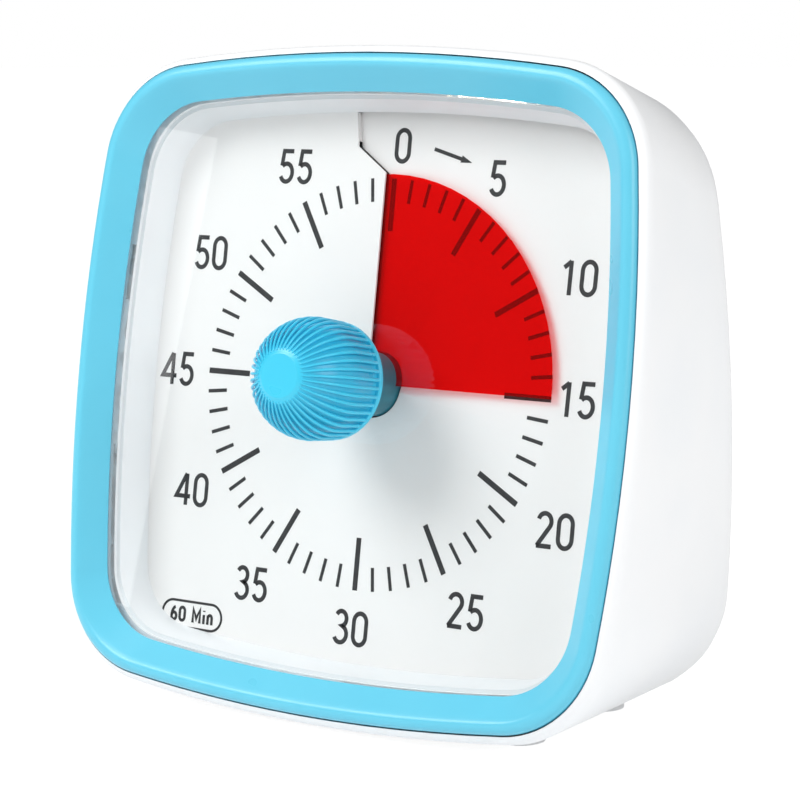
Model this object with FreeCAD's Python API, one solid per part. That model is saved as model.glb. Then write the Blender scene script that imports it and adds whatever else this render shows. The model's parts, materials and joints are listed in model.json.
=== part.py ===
import FreeCAD, Part
import math
import os
from FreeCAD import Placement, Rotation, Vector

# Visual countdown timer for a desk, in millimetres.
# Everything is laid out in the face frame: the dial's centre is the origin, x points right, y up
# along the dial and z out of the dial at the user. stand_up() then leans the face back and
# puts the base on the ground. Clock angles are clockwise from twelve, in degrees.
# The back cover and what it carries are laid out in the back frame: x left, y up, z out of the back.

# General clearances
slide_gap = 0.05
fit_gap = 0.2
seat_gap = 0.3
cut_over = 1.0

# Face outline, shared by bezel, lens, dial and casing
face_half_width = 63.3
height_less = 0.4
face_drop = 0.7
edge_bow_radius = 364.0
face_corner_radius = 20.0
corner_share = 0.72
lean_deg = 9.0

# Front stack: how far each outline lies inside the bezel's
lens_inset = 5.7
lens_lap = 1.2
frame_lap = 1.0
recess_step = 0.4
recess_taper = 2.2
bezel_crest_inset = 1.9
bezel_skirt_inset = 2.4
lens_half = face_half_width - lens_inset
window_half = lens_half - lens_lap
frame_half = lens_half + frame_lap
frame_window_half = window_half - recess_step
dial_window_half = frame_window_half - recess_taper
bezel_crest_half = face_half_width - bezel_crest_inset
bezel_skirt_half = face_half_width - bezel_skirt_inset

# Front stack: heights above the dial
lens_bottom = 7.6
lens_thickness = 2.0
bezel_rise = 4.4
bezel_edge_radius = 1.7
bezel_seat_drop = 0.6
bezel_skirt_wall = 1.8
bezel_skirt_depth = 5.0
lens_top = lens_bottom + lens_thickness
bezel_seat = lens_top - bezel_seat_drop
bezel_top = lens_top + bezel_rise

# Casing
casing_reveal = 1.9
casing_lip_drop = 1.2
casing_lip_radius = 2.8
casing_lip_share = 0.8
casing_lip_steps = 5
casing_wall = 3.0
casing_depth = 40.0
back_tilt_deg = 16.8
side_draft = 2.6
top_draft = 3.1
back_round = 15.0
back_round_steps = 8
shelf_thickness = 2.0
shelf_width = 8.0
base_inset = 2.2
foot_radius = 5.0
foot_height = 1.0
foot_inset = 29.2
foot_front_y = -4.0
foot_rear_inset = 14.0
casing_half = face_half_width + casing_reveal
casing_lip_top = bezel_top - casing_lip_drop
base_below_centre = casing_half - base_inset
foot_side = casing_half - foot_inset
foot_rear_y = casing_depth - foot_rear_inset
beyond = 3 * casing_half
tilt = math.tan(math.radians(back_tilt_deg))

# Night light in the top wall of the inner frame
lamp_x = 25.0
lamp_length = 14.0
lamp_height = 3.4
lamp_low = 2.0
lamp_gap = 0.1
lamp_wall_set_back = 0.9
lamp_recess = 1.2
lamp_window_thickness = 2.0
lamp_board = 0.8
lamp_chip = 0.7
lamp_chip_half = 1.2
lamp_chip_margin = 0.5

# Dial, film and its slit
dial_thickness = 0.4
flap_depth = 1.4
flap_flat_deg = 40.0
flap_end_deg = 100.0
film_radius = 40.8
film_thickness = 0.2
film_gap = 0.12
film_pitch = 7.2
film_shown_deg = 90.0
film_span_deg = 358.0
sheet_step_deg = 5.0
slit_x = -1.3
slit_top = film_radius + fit_gap
slit_jog_x = -8.2
slit_jog_top = slit_top + 4.9
slit_lean = 0.14
sleeve_radius = 6.2
sleeve_margin = 0.3
sleeve_front = lens_bottom - 0.4
hole_gap = 0.3
dial_back = -dial_thickness
film_top = dial_back - film_gap
film_low = film_top - film_thickness
film_turn = film_pitch / 360.0

# Knob and shaft
neck_radius = 5.0
neck_flat = 4.2
knob_gap = 3.3
knob_height = 17.5
knob_radius = 11.6
knob_side_draft = 0.2
knob_shoulder = 5.5
knob_bulge = 0.86
knob_bulge_height = 0.62
knob_rim_radius = 11.3
knob_rim_height = 1.1
knob_cap_radius = 4.4
rib_count = 43
rib_depth = 0.7
rib_share = 0.56
rib_root = 0.6
shaft_radius = 2.5
shaft_flat = 1.8
shaft_grip = 12.0
pivot_radius = 0.8
knob_rear = lens_top + knob_gap
knob_front = knob_rear + knob_height

# Chassis tray and shaft bush
tray_clearance = 0.68
tray_floor = 1.6
tray_rim = 1.8
boss_radius = 3.4
boss_inset = 10.6
boss_below_dial = 3.0
boss_root = 0.5
boss_spread = frame_half - boss_inset
tray_bottom = film_low - film_pitch - tray_clearance
tray_back = tray_bottom - tray_floor
bush_radius = 4.0
bush_flange_radius = 5.4
bush_flange = 0.8

# Movement case
movement_half = 27.0
movement_shift = -3.0
movement_corner = 3.0
movement_inner_corner = 2.3
movement_front_depth = 4.0
movement_rear_depth = 11.0
movement_wall = 1.2
movement_post_radius = 2.4
movement_post_inset = 2.2
movement_split = tray_back - movement_front_depth
movement_back = movement_split - movement_rear_depth

# Gear train
gear_module = 0.25
wheel_width = 0.8
pinion_width = 1.6
pinion_teeth = 8
centre_teeth = 100
third_teeth = 96
second_teeth = 96
layer_step = 2.4
first_layer_drop = 1.8
third_arbor_deg = 250.0
second_arbor_deg = 350.0
rotor_arbor_deg = 65.0
arbor_radius = 0.5
arbor_neck = 0.12
pivot_depth = 0.7
hub_wall = 1.2
hub_height = 0.6
tooth_backlash = 0.06
tip_share = 0.8
root_share = 1.25
pressure_deg = 20.0
gear_front = tray_back - movement_wall
centre_layer = gear_front - first_layer_drop
third_layer = centre_layer - layer_step
second_layer = third_layer - layer_step
pivot_front = gear_front + pivot_depth - slide_gap
pivot_rear = movement_back + movement_wall - pivot_depth + slide_gap

# Stepping motor and clutch
magnet_radius = 3.0
magnet_height = 2.6
magnet_drop = 3.4
magnet_middle = second_layer - magnet_drop
stator_thickness = 1.0
stator_reach = 11.0
stator_leg = 3.0
stator_half_height = 4.6
stator_air_gap = 0.5
core_half = 1.0
coil_radius = 2.3
coil_margin = 1.0
bobbin_radius = 1.6
bobbin_flange = 0.8
winding_less = 0.3
clutch_outer = 6.0
clutch_thickness = 0.3
clutch_slot_half = 0.5
collar_less = 1.0
collar_drop = 1.4
collar_thickness = 0.8

# Screws
screw_radius = 1.25
screw_head_radius = 2.5
screw_head_height = 1.6
screw_head_round = 0.5
screw_cross_half = 1.3
screw_cross_width_half = 0.3
screw_cross_depth = 0.7
chassis_screw_length = 7.0
cover_screw_length = 6.0
movement_screw_extra = 1.0

# Back cover and battery bay
cover_width = 84.0
cover_height = 80.0
cover_corner = 8.0
cover_thickness = 2.4
cover_drop = -1.0
cover_screw_inset = 5.0
ledge_width = 3.0
ledge_thickness = 2.0
ledge_overlap = 0.4
post_length = 4.0
counterbore = 0.9
cell_radius = 5.25
cell_length = 43.5
cell_nub = 1.0
cell_nub_radius = 1.9
cell_gap = 0.2
cell_clearance = 0.4
bay_length = 51.0
bay_wall = 1.4
bay_centre_y = -22.0
bay_height = 4 * cell_radius + 1.2
bay_depth = 2 * cell_radius + 0.8
door_overlap = 2.0
door_thickness = 1.8
door_corner = 2.5
grip_count = 3
grip_pitch = 1.6
grip_half_width = 6.0
grip_half_height = 0.4
grip_depth = 0.6
grip_inset = 3.0
contact_half = 4.0
contact_thickness = 0.4
spring_turns = 3
spring_wire = 0.35
spring_radius = 2.4
cell_middle_z = -door_thickness - cell_clearance - cell_radius

# Circuit board and what it carries
pcb_thickness = 1.6
pcb_width = 70.0
pcb_height = 19.0
pcb_corner = 1.5
pcb_centre_y = 5.5
pcb_depth = 5.4
pcb_peg_radius = 2.4
pcb_peg_inset = 3.0
pcb_screw_radius = 0.9
pcb_screw_head_radius = 1.8
pcb_screw_head = 1.2
pcb_screw_length = 4.2
pcb_low = -pcb_depth - pcb_thickness
chip_half_width = 5.0
chip_half_height = 3.0
chip_thickness = 1.5
crystal_radius = 1.0
crystal_length = 6.0
crystal_x = 10.0
crystal_drop = 4.0
crystal_lift = 0.1
buzzer_radius = 8.0
buzzer_thickness = 0.6
ceramic_share = 0.7
ceramic_thickness = 0.4
grille_pitch = 2.4
grille_hole_radius = 0.8
grille_reach = 3
grille_y = 28.0

# Button and slide switch in the back cover
control_y = pcb_centre_y
control_flange = 0.7
control_low = -cover_thickness - seat_gap - control_flange
button_x = -22.0
button_radius = 4.0
button_gap = 0.15
button_proud = 1.2
button_round = 0.6
button_flange = 1.0
button_travel = 0.5
button_switch_half = 3.0
button_switch_height = 0.8
plunger_radius = 1.7
switch_x = 22.0
slide_travel = 2.0
slider_half = 2.0
slider_half_height = 1.5
slider_proud = 0.8
slider_flange_half = 5.0
slider_flange_half_height = 3.0
slider_stem_half = 0.8
slider_stem = 1.2


def disc_point(angle, radius, z):
    turn = math.radians(angle)
    return Vector(radius * math.sin(turn), radius * math.cos(turn), z)


def cylinder(radius, low, high, x=0.0, y=0.0):
    return Part.makeCylinder(radius, high - low, Vector(x, y, low))


def box(x_low, x_high, y_low, y_high, z_low, z_high):
    return Part.makeBox(x_high - x_low, y_high - y_low, z_high - z_low, Vector(x_low, y_low, z_low))


def prism(points, low, high):
    corners = [Vector(x, y, low) for x, y in points]
    face = Part.Face(Part.makePolygon(corners + [corners[0]]))
    return face.extrude(Vector(0, 0, high - low))


def joined(shape, *others):
    return shape.fuse(list(others)).removeSplitter()


# Face outlines
def corner_radius(half):
    return face_corner_radius - (face_half_width - half) * corner_share


def bowed_wire(half_x, half_y, centre_y, corner, height):
    """Four bowed sides and four corner arcs, raised to height(y)."""
    a = edge_bow_radius - half_x
    b = edge_bow_radius - half_y
    r = edge_bow_radius - corner
    m = a / b
    n = (a * a - b * b) / (2 * b)
    p = 1 + m * m
    q = a + m * n
    s = a * a + n * n - r * r
    cx = (-q + math.sqrt(q * q - p * s)) / p
    cy = m * cx + n
    to_side = math.atan2(cy, cx + a)
    to_top = math.atan2(cy + b, cx)
    middle = (to_side + to_top) / 2

    def on_corner(turn, sx, sy):
        x = sx * (cx + corner * math.cos(turn))
        y = centre_y + sy * (cy + corner * math.sin(turn))
        return Vector(x, y, height(y))

    def flat(x, y):
        return Vector(x, y + centre_y, height(y + centre_y))

    right = Part.Arc(on_corner(to_side, 1, -1), flat(half_x, 0), on_corner(to_side, 1, 1))
    top_right = Part.Arc(on_corner(to_side, 1, 1), on_corner(middle, 1, 1), on_corner(to_top, 1, 1))
    top = Part.Arc(on_corner(to_top, 1, 1), flat(0, half_y), on_corner(to_top, -1, 1))
    top_left = Part.Arc(on_corner(to_top, -1, 1), on_corner(middle, -1, 1), on_corner(to_side, -1, 1))
    left = Part.Arc(on_corner(to_side, -1, 1), flat(-half_x, 0), on_corner(to_side, -1, -1))
    low_left = Part.Arc(on_corner(to_side, -1, -1), on_corner(middle, -1, -1), on_corner(to_top, -1, -1))
    bottom = Part.Arc(on_corner(to_top, -1, -1), flat(0, -half_y), on_corner(to_top, 1, -1))
    low_right = Part.Arc(on_corner(to_top, 1, -1), on_corner(middle, 1, -1), on_corner(to_side, 1, -1))
    arcs = [right, top_right, top, top_left, left, low_left, bottom, low_right]
    return Part.Wire([arc.toShape() for arc in arcs])


def face_wire(half, z):
    return bowed_wire(half, half - height_less, -face_drop, corner_radius(half), lambda y: z)


def face_slab(half, low, high):
    return Part.Face(face_wire(half, low)).extrude(Vector(0, 0, high - low))


def funnel(low_half, low, high_half, high):
    return Part.makeLoft([face_wire(low_half, low), face_wire(high_half, high)], True, True)


# Casing body: sections swing from the face plane to the tilted back plane
def casing_section(share, inset, rounding, back_inset):
    start = casing_lip_top - casing_lip_radius
    end = -casing_depth + back_inset

    def height(y):
        return start + share * (end + tilt * y - start)

    half_x = casing_half - side_draft * share - inset - rounding
    low_z = height(-casing_half)
    rise = (start - low_z) * math.tan(math.radians(lean_deg))
    half_top = casing_half - height_less - top_draft * share - inset - rounding
    half_low = casing_half - height_less - rise - inset - rounding
    centre = -face_drop + (half_top - half_low) / 2
    return bowed_wire(half_x, (half_top + half_low) / 2, centre, corner_radius(casing_half) - inset, height)


def casing_body(inset, back_inset):
    start = casing_lip_top - casing_lip_radius
    depth = start + casing_depth - back_inset
    turn_in = back_round - inset
    first = 1 - turn_in / depth
    wires = []
    for i in range(back_round_steps + 1):
        angle = math.pi / 2 * i / back_round_steps
        share = first + (1 - first) * math.sin(angle)
        wires.append(casing_section(share, inset, turn_in * (1 - math.cos(angle)), back_inset))
    return [casing_section(0.0, inset, 0.0, back_inset)] + wires


def lip_wires():
    wires = []
    start = casing_lip_top - casing_lip_radius
    for i in range(casing_lip_steps, 0, -1):
        angle = math.pi / 2 * i / casing_lip_steps * casing_lip_share
        inward = casing_lip_radius * (1 - math.cos(angle))
        wires.append(face_wire(casing_half - inward, start + casing_lip_radius * math.sin(angle)))
    return wires


def outer_casing():
    body = Part.makeLoft(lip_wires() + casing_body(0.0, 0.0), True, True)
    floor = box(-beyond, beyond, -beyond, beyond, -beyond, -base_below_centre)
    floor.Placement = Placement(Vector(), face_rotation).inverse()
    return body.cut(floor)


face_rotation = Rotation(Vector(1, 0, 0), 90 - lean_deg)
back_rotation = Rotation(Vector(1, 0, 0), back_tilt_deg).multiply(Rotation(Vector(0, 1, 0), 180))
back_placement = Placement(Vector(0, 0, -casing_depth), back_rotation)


def on_back(shape):
    """Moves a shape from the back frame (x left, y up, z out of the back) to the face frame."""
    moved = shape.copy()
    moved.Placement = back_placement.multiply(moved.Placement)
    return moved


def rounded_plate(width, height, corner, low, high, x=0.0, y=0.0):
    plate = box(x - width / 2, x + width / 2, y - height / 2, y + height / 2, low, high)
    upright = [e for e in plate.Edges if abs(e.BoundBox.ZLength - (high - low)) < 1e-6]
    return plate.makeFillet(corner, upright)


# Front stack
def make_bezel():
    ring = face_slab(face_half_width, bezel_seat, bezel_top)
    rim = [e for e in ring.Edges if e.BoundBox.ZMin > bezel_top - 1e-6]
    ring = ring.makeFillet(bezel_edge_radius, rim)
    ring = ring.cut(funnel(window_half, lens_top, bezel_crest_half, bezel_top))
    ring = ring.cut(face_slab(window_half, bezel_seat - cut_over, lens_top))
    ring = ring.cut(face_slab(lens_half + fit_gap, bezel_seat - cut_over, lens_top))
    skirt_low = bezel_seat - bezel_skirt_depth
    skirt = face_slab(bezel_skirt_half, skirt_low, bezel_seat)
    skirt = skirt.cut(face_slab(bezel_skirt_half - bezel_skirt_wall, skirt_low - cut_over, bezel_seat + cut_over))
    return ring.fuse(skirt)


def make_lens():
    plate = face_slab(lens_half, lens_bottom, lens_top)
    return plate.cut(cylinder(sleeve_radius + hole_gap, lens_bottom - cut_over, lens_top + cut_over))


def make_inner_frame():
    ring = face_slab(frame_half, 0, lens_bottom)
    ring = ring.cut(funnel(dial_window_half, 0, frame_window_half, lens_bottom))
    return ring.cut(lamp_slot(lamp_gap))


# Night light
def lamp_wall_y():
    """Height of the recess wall where the night light's window sits."""
    wall_half = dial_window_half + lamp_wall_set_back
    return wall_half - height_less - face_drop - lamp_x ** 2 / edge_bow_radius / 2


def lamp_slot(gap):
    half = lamp_length / 2 + gap
    low_y = lamp_wall_y() - lamp_recess
    return box(lamp_x - half, lamp_x + half, low_y, frame_half, lamp_low - gap, lamp_low + lamp_height + gap)


def make_lamp_window():
    block = lamp_slot(0.0)
    top = lamp_wall_y() + lamp_window_thickness
    block = block.cut(box(-beyond, beyond, top, beyond, -beyond, beyond))
    return block.cut(funnel(dial_window_half, 0, frame_window_half, lens_bottom))


def make_lamps():
    """A strip of board with three light chips behind the window."""
    half = lamp_length / 2
    chips_low = lamp_wall_y() + lamp_window_thickness + slide_gap
    board_low = chips_low + lamp_chip
    high = lamp_low + lamp_height
    strip = box(lamp_x - half, lamp_x + half, board_low, board_low + lamp_board, lamp_low, high)
    chips = []
    for i in (-1, 0, 1):
        middle = lamp_x + i * lamp_length / 3
        chips.append(box(middle - lamp_chip_half, middle + lamp_chip_half, chips_low, board_low,
                         lamp_low + lamp_chip_margin, high - lamp_chip_margin))
    return strip.fuse(chips)


# Dial with its slit and sunken flap
def helical_sheet(start, end, r_in, r_out, top_at, thickness):
    count = max(2, int(round((end - start) / sheet_step_deg)))
    wires = []
    for i in range(count + 1):
        angle = start + (end - start) * i / count
        top = top_at(angle)
        low = top - thickness
        ring = [disc_point(angle, r_in, low), disc_point(angle, r_out, low),
                disc_point(angle, r_out, top), disc_point(angle, r_in, top)]
        wires.append(Part.makePolygon(ring + [ring[0]]))
    return Part.makeLoft(wires, True, True)


def make_dial():
    far = 2 * frame_half
    slit_line = [(slit_x, 0), (slit_x, slit_top), (slit_jog_x, slit_jog_top),
                 (slit_jog_x - slit_lean * (far - slit_jog_top), far)]
    ramp_start = disc_point(flap_flat_deg, far / math.cos(math.radians(flap_flat_deg)), 0)
    ramp_end = disc_point(flap_end_deg, far, 0)
    sheet = face_slab(frame_half, dial_back, 0)
    opening = prism(slit_line + [(far, far), (far, ramp_end.y), (ramp_end.x, ramp_end.y), (0, 0)],
                    dial_back - cut_over, cut_over)
    inside = face_slab(frame_half - tray_rim - seat_gap, tray_bottom, lens_bottom)
    sheet = sheet.cut(opening.common(inside))
    sunk = -flap_depth
    flat = prism(slit_line + [(ramp_start.x, ramp_start.y), (0, 0)], sunk - dial_thickness, sunk)

    def ramp_top(angle):
        return sunk + flap_depth * (angle - flap_flat_deg) / (flap_end_deg - flap_flat_deg)

    ramp = helical_sheet(flap_flat_deg, flap_end_deg, neck_radius, far, ramp_top, dial_thickness)
    flat = flat.common(inside)
    ramp = ramp.common(inside)
    hole = cylinder(sleeve_radius + hole_gap, tray_bottom, lens_bottom)
    return sheet.fuse([flat, ramp]).cut(hole)


# Film disc, and the sleeve that carries it along the neck of the knob
def film_top_at(angle):
    return film_top + film_turn * angle


def make_film():
    start = film_shown_deg - film_span_deg
    return helical_sheet(start, film_shown_deg, sleeve_radius, film_radius, film_top_at, film_thickness)


def make_sleeve():
    low = film_top_at(film_shown_deg - film_span_deg) - film_thickness - sleeve_margin
    tube = cylinder(sleeve_radius, low, sleeve_front)
    bore = cylinder(neck_radius + slide_gap, low - cut_over, sleeve_front + cut_over)
    side = 2 * sleeve_radius
    flat = box(-side, -neck_flat - slide_gap, -side, side, low - 2 * cut_over, sleeve_front + 2 * cut_over)
    return tube.cut(bore.cut(flat))


# Ribbed knob with a long keyed neck
def knob_profile(inset):
    top = knob_front - inset
    side = knob_radius - inset
    shoulder = knob_rear + knob_shoulder
    start = Vector(0, 0, knob_rear if inset == 0 else knob_rear + knob_rim_height / 2)
    corner = Vector(side - knob_side_draft, 0, start.z)
    edges = [Part.LineSegment(start, corner).toShape()]
    edges.append(Part.LineSegment(corner, Vector(side, 0, shoulder)).toShape())
    middle = Vector(side * knob_bulge, 0, shoulder + (top - shoulder) * knob_bulge_height)
    cap = Vector(knob_cap_radius, 0, top)
    edges.append(Part.Arc(Vector(side, 0, shoulder), middle, cap).toShape())
    edges.append(Part.LineSegment(cap, Vector(0, 0, top)).toShape())
    edges.append(Part.LineSegment(Vector(0, 0, top), start).toShape())
    return Part.Face(Part.Wire(edges)).revolve(Vector(), Vector(0, 0, 1), 360)


def make_knob():
    outer = knob_profile(0.0)
    core = knob_profile(rib_depth)
    half = math.radians(180.0 / rib_count * rib_share)
    reach = 2 * knob_radius
    wedge = prism([(0, 0), (reach, -reach * math.tan(half)), (reach, reach * math.tan(half))],
                  knob_rear + knob_rim_height, knob_front + cut_over)
    rib = outer.common(wedge).cut(cylinder(knob_cap_radius - rib_root, 0, knob_front + 2 * cut_over))
    ribs = []
    for i in range(rib_count):
        one = rib.copy()
        one.rotate(Vector(), Vector(0, 0, 1), 360.0 * (i + 0.5) / rib_count)
        ribs.append(one)
    rim = cylinder(knob_rim_radius, knob_rear, knob_rear + knob_rim_height)
    cap = cylinder(knob_cap_radius, knob_front - knob_shoulder / 2, knob_front)
    neck = cylinder(neck_radius, tray_bottom + seat_gap, knob_rear + cut_over)
    neck = neck.cut(box(-reach, -neck_flat, -reach, reach, tray_bottom, knob_rear))
    knob = core.fuse(ribs + [rim, cap, neck])
    return knob.cut(d_shaft(shaft_radius + slide_gap, shaft_flat + slide_gap, tray_bottom, shaft_top() + seat_gap))


def shaft_top():
    return knob_rear + shaft_grip


def d_shaft(radius, flat, low, high):
    rod = cylinder(radius, low, high)
    side = 2 * radius
    return rod.cut(box(-side, -flat, -side, side, low - cut_over, high + cut_over))


# Chassis tray behind the dial
def corners_of(spread):
    return [(sx * spread, sy * spread - face_drop) for sx in (-1, 1) for sy in (-1, 1)]


def make_chassis():
    tray = face_slab(frame_half, tray_back, dial_back)
    tray = tray.cut(face_slab(frame_half - tray_rim, tray_bottom, cut_over))
    screw_tip = tray_back - shelf_thickness + chassis_screw_length + seat_gap
    for x, y in corners_of(boss_spread):
        tray = tray.fuse(cylinder(boss_radius, tray_bottom - boss_root, dial_back - boss_below_dial, x, y))
    for x, y in corners_of(boss_spread):
        tray = tray.cut(cylinder(screw_radius + slide_gap, tray_back - cut_over, screw_tip, x, y))
    for x, y in movement_corners():
        tray = tray.cut(cylinder(screw_radius + slide_gap, tray_back - cut_over, tray_bottom + cut_over, x, y))
    return tray.cut(cylinder(bush_radius + slide_gap, tray_back - cut_over, tray_bottom + cut_over))


def make_bush():
    front_wall = tray_back - movement_wall
    bush = cylinder(bush_radius, front_wall, tray_bottom)
    flange = cylinder(bush_flange_radius, front_wall - bush_flange, front_wall)
    bore = cylinder(shaft_radius + slide_gap, front_wall - bush_flange - cut_over, tray_bottom + cut_over)
    return bush.fuse(flange).cut(bore)


# Movement case
def movement_corners():
    reach = movement_half - movement_wall - movement_post_inset
    return [(movement_shift + sx * reach, sy * reach) for sx in (-1, 1) for sy in (-1, 1)]


def movement_shell(low, high, open_low):
    width = 2 * movement_half
    outer = rounded_plate(width, width, movement_corner, low, high, movement_shift)
    inner_width = width - 2 * movement_wall
    inner_low = low - cut_over if open_low else low + movement_wall
    inner_high = high - movement_wall if open_low else high + cut_over
    inner = rounded_plate(inner_width, inner_width, movement_inner_corner, inner_low, inner_high, movement_shift)
    shell = outer.cut(inner)
    for x, y in movement_corners():
        shell = shell.fuse(cylinder(movement_post_radius, low, high, x, y).common(outer))
    for x, y in movement_corners():
        shell = shell.cut(cylinder(screw_radius + slide_gap, low - cut_over, high + cut_over, x, y))
    return shell


def arbor_places():
    third_gap = (centre_teeth + pinion_teeth) * gear_module / 2
    second_gap = (third_teeth + pinion_teeth) * gear_module / 2
    rotor_gap = (second_teeth + pinion_teeth) * gear_module / 2
    third = disc_point(third_arbor_deg, third_gap, 0)
    second = third + disc_point(second_arbor_deg, second_gap, 0)
    rotor = second + disc_point(rotor_arbor_deg, rotor_gap, 0)
    return third, second, rotor


def make_movement_front():
    shell = movement_shell(movement_split, tray_back, True)
    shell = shell.cut(cylinder(bush_radius + slide_gap, gear_front - cut_over, tray_back + cut_over))
    for place in arbor_places():
        hole = cylinder(arbor_radius + slide_gap, gear_front - cut_over, gear_front + pivot_depth, place.x, place.y)
        shell = shell.cut(hole)
    return shell


def make_movement_rear():
    shell = movement_shell(movement_back, movement_split, False)
    floor = movement_back + movement_wall
    for place in arbor_places():
        hole = cylinder(arbor_radius + slide_gap, floor - pivot_depth, floor + cut_over, place.x, place.y)
        shell = shell.cut(hole)
    return shell.cut(cylinder(pivot_radius + slide_gap, floor - pivot_depth, floor + cut_over))


# Gears: involute flanks, thinned for backlash
def gear_outline(teeth, turn_deg):
    pitch = teeth * gear_module / 2
    base = pitch * math.cos(math.radians(pressure_deg))
    tip = pitch + gear_module * tip_share
    root = pitch - gear_module * root_share
    half_pitch = math.pi / 2 / teeth - tooth_backlash / 2 / pitch
    roll = math.tan(math.radians(pressure_deg)) - math.radians(pressure_deg)

    def half_angle(radius):
        if radius <= base:
            return half_pitch + roll
        lean = math.acos(base / radius)
        return half_pitch + roll - (math.tan(lean) - lean)

    radii = [root, max(root, base), (max(root, base) + tip) / 2, tip]
    if root >= base:
        radii = radii[1:]
    points = []
    for i in range(teeth):
        centre = math.radians(turn_deg) + 2 * math.pi * i / teeth
        sides = [(r, half_angle(r)) for r in radii]
        for radius, half in sides:
            points.append((radius * math.sin(centre - half), radius * math.cos(centre - half)))
        for radius, half in reversed(sides):
            points.append((radius * math.sin(centre + half), radius * math.cos(centre + half)))
    return points


def gear(teeth, turn_deg, centre, low, high):
    shape = prism(gear_outline(teeth, turn_deg), low, high)
    shape.translate(Vector(centre.x, centre.y, 0))
    return shape


def mesh_turn(wheel_turn, wheel_teeth, line_deg, teeth):
    """Turn of a gear whose gap meets the tooth of the wheel on the line between their centres."""
    phase = (line_deg - wheel_turn) * wheel_teeth / 360.0
    return line_deg + 180 + (phase + 0.5) * 360.0 / teeth


def wheel_and_pinion(centre, teeth, turn, layer, pinion_turn, pinion_layer):
    wheel = gear(teeth, turn, centre, layer - wheel_width, layer)
    extra = (pinion_width - wheel_width) / 2
    pinion = gear(pinion_teeth, pinion_turn, centre, pinion_layer - wheel_width - extra, pinion_layer + extra)
    neck = cylinder(arbor_radius + arbor_neck, layer - wheel_width, pinion_layer, centre.x, centre.y)
    arbor = cylinder(arbor_radius, pivot_rear, pivot_front, centre.x, centre.y)
    return wheel.fuse([pinion, neck, arbor])


def gear_turns():
    third_pinion = mesh_turn(0.0, centre_teeth, third_arbor_deg, pinion_teeth)
    second_pinion = mesh_turn(0.0, third_teeth, second_arbor_deg, pinion_teeth)
    rotor_pinion = mesh_turn(0.0, second_teeth, rotor_arbor_deg, pinion_teeth)
    return third_pinion, second_pinion, rotor_pinion


def make_centre_wheel():
    wheel = gear(centre_teeth, 0.0, Vector(), centre_layer - wheel_width, centre_layer)
    hub = cylinder(shaft_radius + hub_wall, centre_layer - wheel_width, centre_layer + hub_height)
    bore = cylinder(shaft_radius + slide_gap, centre_layer - wheel_width - cut_over, gear_front)
    return wheel.fuse(hub).cut(bore)


def make_rotor(rotor, pinion_turn):
    extra = (pinion_width - wheel_width) / 2
    pinion = gear(pinion_teeth, pinion_turn, rotor, second_layer - wheel_width - extra, second_layer + extra)
    arbor = cylinder(arbor_radius, pivot_rear, pivot_front, rotor.x, rotor.y)
    return pinion.fuse(arbor)


def make_magnet(rotor):
    low = magnet_middle - magnet_height / 2
    high = low + magnet_height
    ring = cylinder(magnet_radius, low, high, rotor.x, rotor.y)
    return ring.cut(cylinder(arbor_radius, low - cut_over, high + cut_over, rotor.x, rotor.y))


def coil_line_y():
    return movement_half - movement_wall - coil_radius - coil_margin


def make_stator(rotor):
    low = magnet_middle - stator_thickness / 2
    high = low + stator_thickness
    left = rotor.x - stator_reach
    right = rotor.x + stator_reach
    plate = box(left, right, rotor.y - stator_half_height, rotor.y + stator_half_height, low, high)
    plate = plate.cut(cylinder(magnet_radius + stator_air_gap, low - cut_over, high + cut_over, rotor.x, rotor.y))
    y = coil_line_y()
    legs = [box(left, left + stator_leg, rotor.y, y + core_half, low, high),
            box(right - stator_leg, right, rotor.y, y + core_half, low, high),
            box(left, right, y - core_half, y + core_half, low, high)]
    return joined(plate, *legs)


def along_x(radius, x_low, x_high, y, z):
    return Part.makeCylinder(radius, x_high - x_low, Vector(x_low, y, z), Vector(1, 0, 0))


def make_coil_parts(rotor):
    y = coil_line_y()
    z = magnet_middle
    left = rotor.x - stator_reach + stator_leg + fit_gap
    right = rotor.x + stator_reach - stator_leg - fit_gap
    half = core_half + slide_gap
    half_thick = stator_thickness / 2 + slide_gap
    core = box(left - cut_over, right + cut_over, y - half, y + half, z - half_thick, z + half_thick)
    bobbin = along_x(bobbin_radius, left, right, y, z)
    bobbin = bobbin.fuse([along_x(coil_radius, left, left + bobbin_flange, y, z),
                          along_x(coil_radius, right - bobbin_flange, right, y, z)])
    winding = along_x(coil_radius - winding_less, left + bobbin_flange, right - bobbin_flange, y, z)
    winding = winding.cut(along_x(bobbin_radius, left, right, y, z))
    return bobbin.cut(core), winding


def make_shaft():
    rear = centre_layer - wheel_width - collar_drop
    collar = cylinder(clutch_outer - collar_less, rear, rear + collar_thickness)
    round_part = cylinder(shaft_radius, rear, tray_bottom)
    grip = d_shaft(shaft_radius, shaft_flat, tray_bottom, shaft_top())
    pivot = cylinder(pivot_radius, pivot_rear, rear)
    return round_part.fuse([collar, grip, pivot])


def make_clutch():
    high = centre_layer - wheel_width - seat_gap
    washer = cylinder(clutch_outer, high - clutch_thickness, high)
    low = high - clutch_thickness - cut_over
    washer = washer.cut(cylinder(shaft_radius + slide_gap, low, high + cut_over))
    for i in range(3):
        slot = box(shaft_radius + hub_wall, clutch_outer + cut_over, -clutch_slot_half, clutch_slot_half,
                   low, high + cut_over)
        slot.rotate(Vector(), Vector(0, 0, 1), 120 * i)
        washer = washer.cut(slot)
    return washer


def top_edge(shape):
    return max(shape.Edges, key=lambda e: e.BoundBox.ZMin)


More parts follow.
